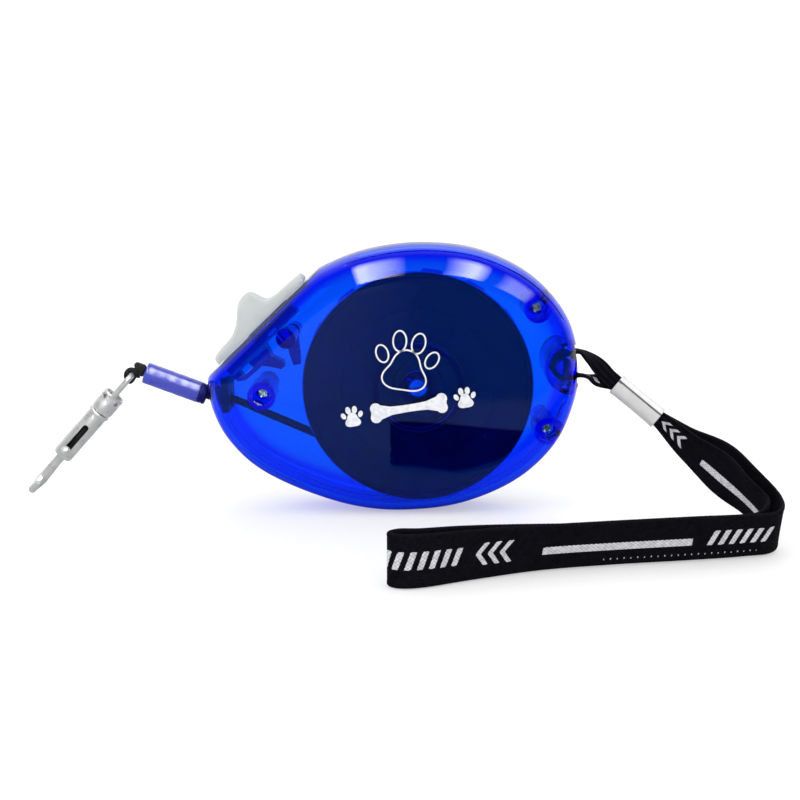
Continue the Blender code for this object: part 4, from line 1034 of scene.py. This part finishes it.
def make_hook_body():
    """The swivelling body: shank, collar, slotted barrel and a hook that thins towards its tip."""
    profile = [
        (0.0, -12.8), (1.6, -12.8), (2.3, -13.3), (2.3, -14.7), (1.2, -14.9), (1.2, -16.7), (3.2, -16.7),
        (3.5, -16.8), (3.6, -17.0), (3.6, -17.5), (3.5, -17.7), (3.15, -17.9), (3.1, -18.2), (3.2, -18.6),
        (3.2, -34.9), (3.05, -35.6), (2.8, -36.0), (1.75, -36.0), (1.75, -21.0), (0.0, -21.0),
    ]
    body = lathe("snap_body", profile, HOOK_TOP, HOOK_UP, "nickel", 72, 32.0)
    bend = [
        (33.0, 2.3), (36.6, 4.6), (40.5, 8.2), (45.0, 9.9), (49.6, 8.6), (52.2, 4.9), (51.3, 1.2), (48.1, -0.2),
    ]
    line = spaced(curve_through([tuple(hook_point(d, s)) for d, s in bend], 12), 0.4)
    shares = np.linspace(0, 1, len(line))
    radii = np.interp(shares, [0, 0.14, 0.31, 0.46, 0.62, 0.77, 0.89, 1.0],
                      [1.65, 1.5, 1.3, 1.45, 1.8, 1.15, 1.25, 0.8])
    cut(body, tube("bend", line, radii, sides=28), "UNION")
    cut(body, lathe("bore", [(0, 21.0), (1.75, 21.0), (1.75, 38.0), (0, 38.0)], HOOK_TOP, HOOK_DOWN, steps=48))
    cut(body, prism("slot", slot_outline(22.2, 34.8, 1.0), HOOK_TOP - Y * 2.0, HOOK_DOWN, HOOK_SQUARE, 4.0))
    # painted shade: the barrel's inside is made near-black where the slot shows into it
    paint(body, "bore", in_shaded_bore)
    smooth_again(body, 32.0)
    return placed(body, "hook", "nickel", "hook_body")


def in_shaded_bore(centre):
    """Whether a point is on the barrel's inside, which is painted near-black as shade."""
    along = (centre - HOOK_TOP).dot(HOOK_DOWN)
    return 20.5 < along < 37.0 and (centre - HOOK_TOP - HOOK_DOWN * along).length < 1.85


def slot_outline(low, high, half):
    """A slot with round ends, in mm."""
    points = []
    for centre, start in ((high - half, -90), (low + half, 90)):
        for k in range(13):
            a = radians(start + 15 * k)
            points.append((centre + half * cos(a), half * sin(a)))
    return points


def make_hook_bolt():
    """The plunger that closes the hook, and its thumb knob."""
    profile = [(0.0, -28.4), (1.1, -28.4), (1.45, -28.8), (1.45, -44.4), (1.3, -45.1), (0.9, -45.6), (0.0, -45.8)]
    bolt = lathe("snap_bolt", profile, HOOK_TOP, HOOK_UP, "nickel", 48)
    knob = [(0.0, 0.5), (0.65, 0.5), (0.65, 3.1), (0.8, 3.3), (1.2, 3.7), (1.46, 4.25), (1.5, 4.8), (1.4, 5.4),
            (1.05, 5.95), (0.5, 6.25), (0.0, 6.3)]
    cut(bolt, lathe("knob", knob, hook_point(32.6), -Y, steps=40), "UNION")
    smooth_again(bolt, 40.0)
    return placed(bolt, "bolt", "nickel", "hook_bolt")


def make_bolt_spring():
    """A coil of four turns along the hook's axis, behind the bolt."""
    turns, start, end = 4, 21.5, 28.0
    points = []
    for i in range(turns * 24 + 1):
        a = 2 * pi * i / 24
        d = start + (end - start) * i / (turns * 24)
        points.append(hook_point(d, 1.2 * cos(a), 1.2 * sin(a)))
    spring = tube("snap_spring", points, 0.26, "zinc", 10)
    placed(spring, "hook", "spring_steel", "bolt_spring")
    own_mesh(spring)
    return spring


# ---- strap and crimp

def crimp_point(along, layer):
    """A point in the crimp, in its front (-1) or back (1) layer."""
    return CRIMP_CENTRE + CRIMP_ALONG * along - CRIMP_THICK_WAY * (layer * LAYER_OFFSET)


def strap_knot(point, width, way):
    return (*point, width, *way)


def loop_knots(layer):
    knots = []
    for x, y, z, width, lean in layer:
        way = SLOPE_WIDTH_WAY if lean is None else Vector((0, -sin(radians(lean)), cos(radians(lean))))
        knots.append(strap_knot((x, y, z), width, way))
    return knots


def strap_route():
    """The strap's middle line, its width and the way its width points, within 2.4 mm of the CAD's."""
    way, half = CRIMP_WIDTH_WAY, CRIMP_LENGTH / 2
    tilted_way = Vector((0, 1, -0.14)).normalized()
    radius = 2.7 + 0.3 + STRAP_THICKNESS / 2 + 0.1

    def gathered(along, layer):
        return strap_knot(crimp_point(along, layer), GATHERED_WIDTH, way)

    def tab(leg):
        return [strap_knot(place, width, tilted_way.lerp(way, turn).normalized())
                for *place, width, turn in leg]

    knots = [gathered(END_GAP / 2, 1), gathered(half, 1)] + loop_knots(LOOP_OUTER) + loop_knots(LOOP_INNER)
    knots += [gathered(half, -1), gathered(-half, -1)] + tab(TAB_UPPER)
    for angle in (90, 135, 180, 225, 270):
        around = Vector((cos(radians(angle)), 0, sin(radians(angle))))
        knots.append(strap_knot(POST + around * radius, STRAP_WIDTH, Y))
    knots += tab(TAB_LOWER) + [gathered(-half, 1), gathered(-END_GAP / 2, 1)]
    return knots


def box_field(u, v, u0, u1, v0, half):
    """Signed distance in mm to a bar, positive inside."""
    return np.minimum(np.minimum(u - u0, u1 - u), half - np.abs(v - v0))


def mark_field(u, v, arc_at):
    """Woven marks along the strap: white lines, plain chevrons, slanted dashes and fine dots."""
    field = np.full(u.shape, -1.0)
    for start, end, height in ((arc_at(84.5, 1), arc_at(41.5, 1), -0.9), (arc_at(108.3, 0), arc_at(95.5, 0), -1.3)):
        field = np.maximum(field, box_field(u, v, start, end, height, 1.2))
    for centre in (arc_at(26.5, 1), arc_at(87.4, 0)):
        for k in (-1, 0, 1):
            slant = np.abs(u - centre - 3.6 * k + 0.75 * np.abs(v - 0.2))
            field = np.maximum(field, np.minimum(0.8 - slant, 3.4 - np.abs(v - 0.2)))
    dots = 0.3 - np.hypot((u + 1.0) % 2.0 - 1.0, v + 5.2)
    field = np.maximum(field, np.where((u > arc_at(105.0, 1)) & (u < arc_at(58.0, 1)), dots, -1.0))
    for start, count, height, half in ((arc_at(18.2, 1), 7, 0.2, 2.5), (arc_at(107.2, 1), 6, 0.2, 2.5),
                                       (u.max() - 18.5, 4, -3.6, 2.2)):
        for k in range(count):
            dash = box_field(u + 0.35 * (v - height), v, start + 3.3 * k, start + 3.3 * k + 1.7, height, half)
            field = np.maximum(field, dash)
    return np.clip(field, -1.0, 1.0)


def make_strap():
    """One woven band, swept along the CAD's route, with rounded selvedges and pleats where it gathers."""
    route = spaced(curve_through(strap_route(), 14), 0.5)
    line, widths = route[:, :3], route[:, 3]
    arcs, tangents = arc_lengths(line), tangents_of(line)
    ways = unit(route[:, 4:7] - tangents * (route[:, 4:7] * tangents).sum(1)[:, None])
    thick = np.cross(tangents, ways)
    columns = np.linspace(-1, 1, 37)
    section = [(c, 1.0) for c in columns] + [(c, -1.0) for c in columns[::-1]]
    across = np.array([c for c, _ in section])
    face = np.array([s for _, s in section])
    edge = np.clip((np.abs(across) - 0.93) / 0.07, 0, 1)
    body = STRAP_THICKNESS / 2 * (0.86 + 0.14 * np.exp(-((np.abs(across) - 0.9) / 0.05) ** 2))
    half_thick = body * np.sqrt(np.maximum(0.12, 1 - edge ** 2))
    v_flat = across * STRAP_WIDTH / 2
    u, v = np.meshgrid(arcs, v_flat, indexing="ij")
    gather = np.clip(1 - widths / STRAP_WIDTH, 0, 1)[:, None]
    pleat = 0.42 * gather * np.cos(v * 2 * pi / 5.2) * (widths[:, None] < STRAP_WIDTH - 0.2)
    weave = 0.035 * np.sin(v * 2 * pi / 1.05) * np.sin(u * 2 * pi / 1.3)
    inside = np.exp(-((arcs[:, None]) / 8.0) ** 2) + np.exp(-((arcs[-1] - arcs[:, None]) / 8.0) ** 2)
    lift = pleat * (1 - 0.5 * inside) + face * (half_thick * (1 - 0.25 * gather)) + weave
    points = (line[:, None, :] + ways[:, None, :] * (across * widths[:, None] / 2)[..., None]
              + thick[:, None, :] * lift[..., None])
    rows, around = u.shape
    points[..., 2] = np.maximum(points[..., 2], 0.02)
    faces, corners = [], []
    for i in range(rows - 1):
        for k in range(around):
            after = (k + 1) % around
            quad = [(i, k), (i, after), (i + 1, after), (i + 1, k)]
            faces.append([a * around + b for a, b in quad])
            corners += [(arcs[a] * MM, v_flat[b] * MM) for a, b in quad]
    for row, turn in ((0, 1), (rows - 1, -1)):
        cap = [(row, k) for k in range(around)][::turn]
        faces.append([a * around + b for a, b in cap])
        corners += [(arcs[a] * MM, v_flat[b] * MM) for a, b in cap]
    mesh = bpy.data.meshes.new("woven_strap")
    mesh.from_pydata((points.reshape(-1, 3) * MM).tolist(), [], faces)
    layer = mesh.uv_layers.new(name="along")
    layer.data.foreach_set("uv", np.array(corners, np.float32).ravel())

    def arc_at(x, part):
        """The arc length where the outer stretch (1) or the front slope (0) passes x."""
        low, high = ((306.0, 370.0), (60.0, 190.0))[part]
        near = [i for i in range(len(arcs)) if low <= arcs[i] <= high]
        return arcs[min(near, key=lambda i: abs(line[i][0] - x))]

    marks = mesh.attributes.new("mark", "FLOAT", "POINT")
    marks.data.foreach_set("value", mark_field(u, v, arc_at).ravel().astype(np.float32))
    strap = put_mesh("woven_strap", mesh, "webbing", 60.0)
    placed(strap, "strap", "black_webbing", "wrist_strap")
    return strap, line, arcs[-1]


def make_crimp():
    """A folded nickel ferrule: its sheet laps over itself a third of the way down the front; the lap is painted
    lighter as a highlight and the fold darker as a shadow.
    """
    half_w, half_t, radius = 3.45, 2.6, 1.7
    lap, step = 1.1, 0.42

    def corner(number, x, y, size):
        """Nine points round one corner of the section, the corners numbered from the first quarter."""
        angles = [radians(90 * number + 11.25 * k) for k in range(9)]
        return [(x + size * cos(a), y + size * sin(a)) for a in angles]

    signs = ((1, 1), (-1, 1), (-1, -1), (1, -1))
    outline = corner(0, half_w - radius, half_t - radius - step, radius)
    outline += [(lap + 0.55, half_t - step), (lap + 0.1, half_t - step + 0.08), (lap - 0.08, half_t - 0.1),
                (lap - 0.3, half_t)]
    for number, (sx, sy) in enumerate(signs[1:], 1):
        outline += corner(number, sx * (half_w - radius), sy * (half_t - radius), radius)
    inner = []
    for number, (sx, sy) in enumerate(signs):
        inner += corner(number, sx * 2.05, sy, 1.0)
    stations = [(-8.5, 0.985), (-8.35, 1.02), (-7.9, 1.025), (-7.3, 1.0), (-3.0, 0.985), (0.0, 0.975),
                (3.0, 0.985), (7.3, 1.0), (7.9, 1.03), (8.35, 1.03), (8.5, 0.99)]
    points = []
    for along, scale in stations:
        centre = CRIMP_CENTRE + CRIMP_ALONG * along
        points += [centre + CRIMP_WIDTH_WAY * (x * scale) + CRIMP_THICK_WAY * (y * scale) for x, y in outline]
    crimp = solid("folded_crimp", points, stacked(len(outline), len(stations)), "tin", 30.0)
    cut(crimp, prism("hollow", inner, CRIMP_CENTRE, CRIMP_WIDTH_WAY, CRIMP_THICK_WAY, CRIMP_LENGTH + 4))

    def across(centre):
        return (centre - CRIMP_CENTRE).dot(CRIMP_WIDTH_WAY)

    # painted highlight: the strip above the lap is the same tin, only lighter
    paint(crimp, "tin_lap_highlight", lambda centre: across(centre) > lap)
    # painted shadow: the front faces of the step at the lap are made dark as the fold's shade
    paint(crimp, "tin_fold_shadow", lambda centre: (centre - CRIMP_CENTRE).dot(CRIMP_THICK_WAY) > 1.5
          and lap - 0.12 < across(centre) < lap + 0.5)
    smooth_again(crimp, 30.0)
    return placed(crimp, "strap", "nickel", "strap_crimp")


# ---- the whole leash

make_stage()
MATERIALS = make_materials()
make_shell("front_shell", -1)
make_shell("rear_shell", 1)
make_print()
make_inside()
make_reel_cover()
make_winding()
make_cord_run()
make_button()
lead, lead_line, lead_length = make_lead()
knot = make_knot()
fittings = make_sleeve() + [knot, make_hook_eye(), make_hook_body(), make_hook_bolt(), make_bolt_spring()]
strap, strap_line, strap_length = make_strap()
crimp = make_crimp()
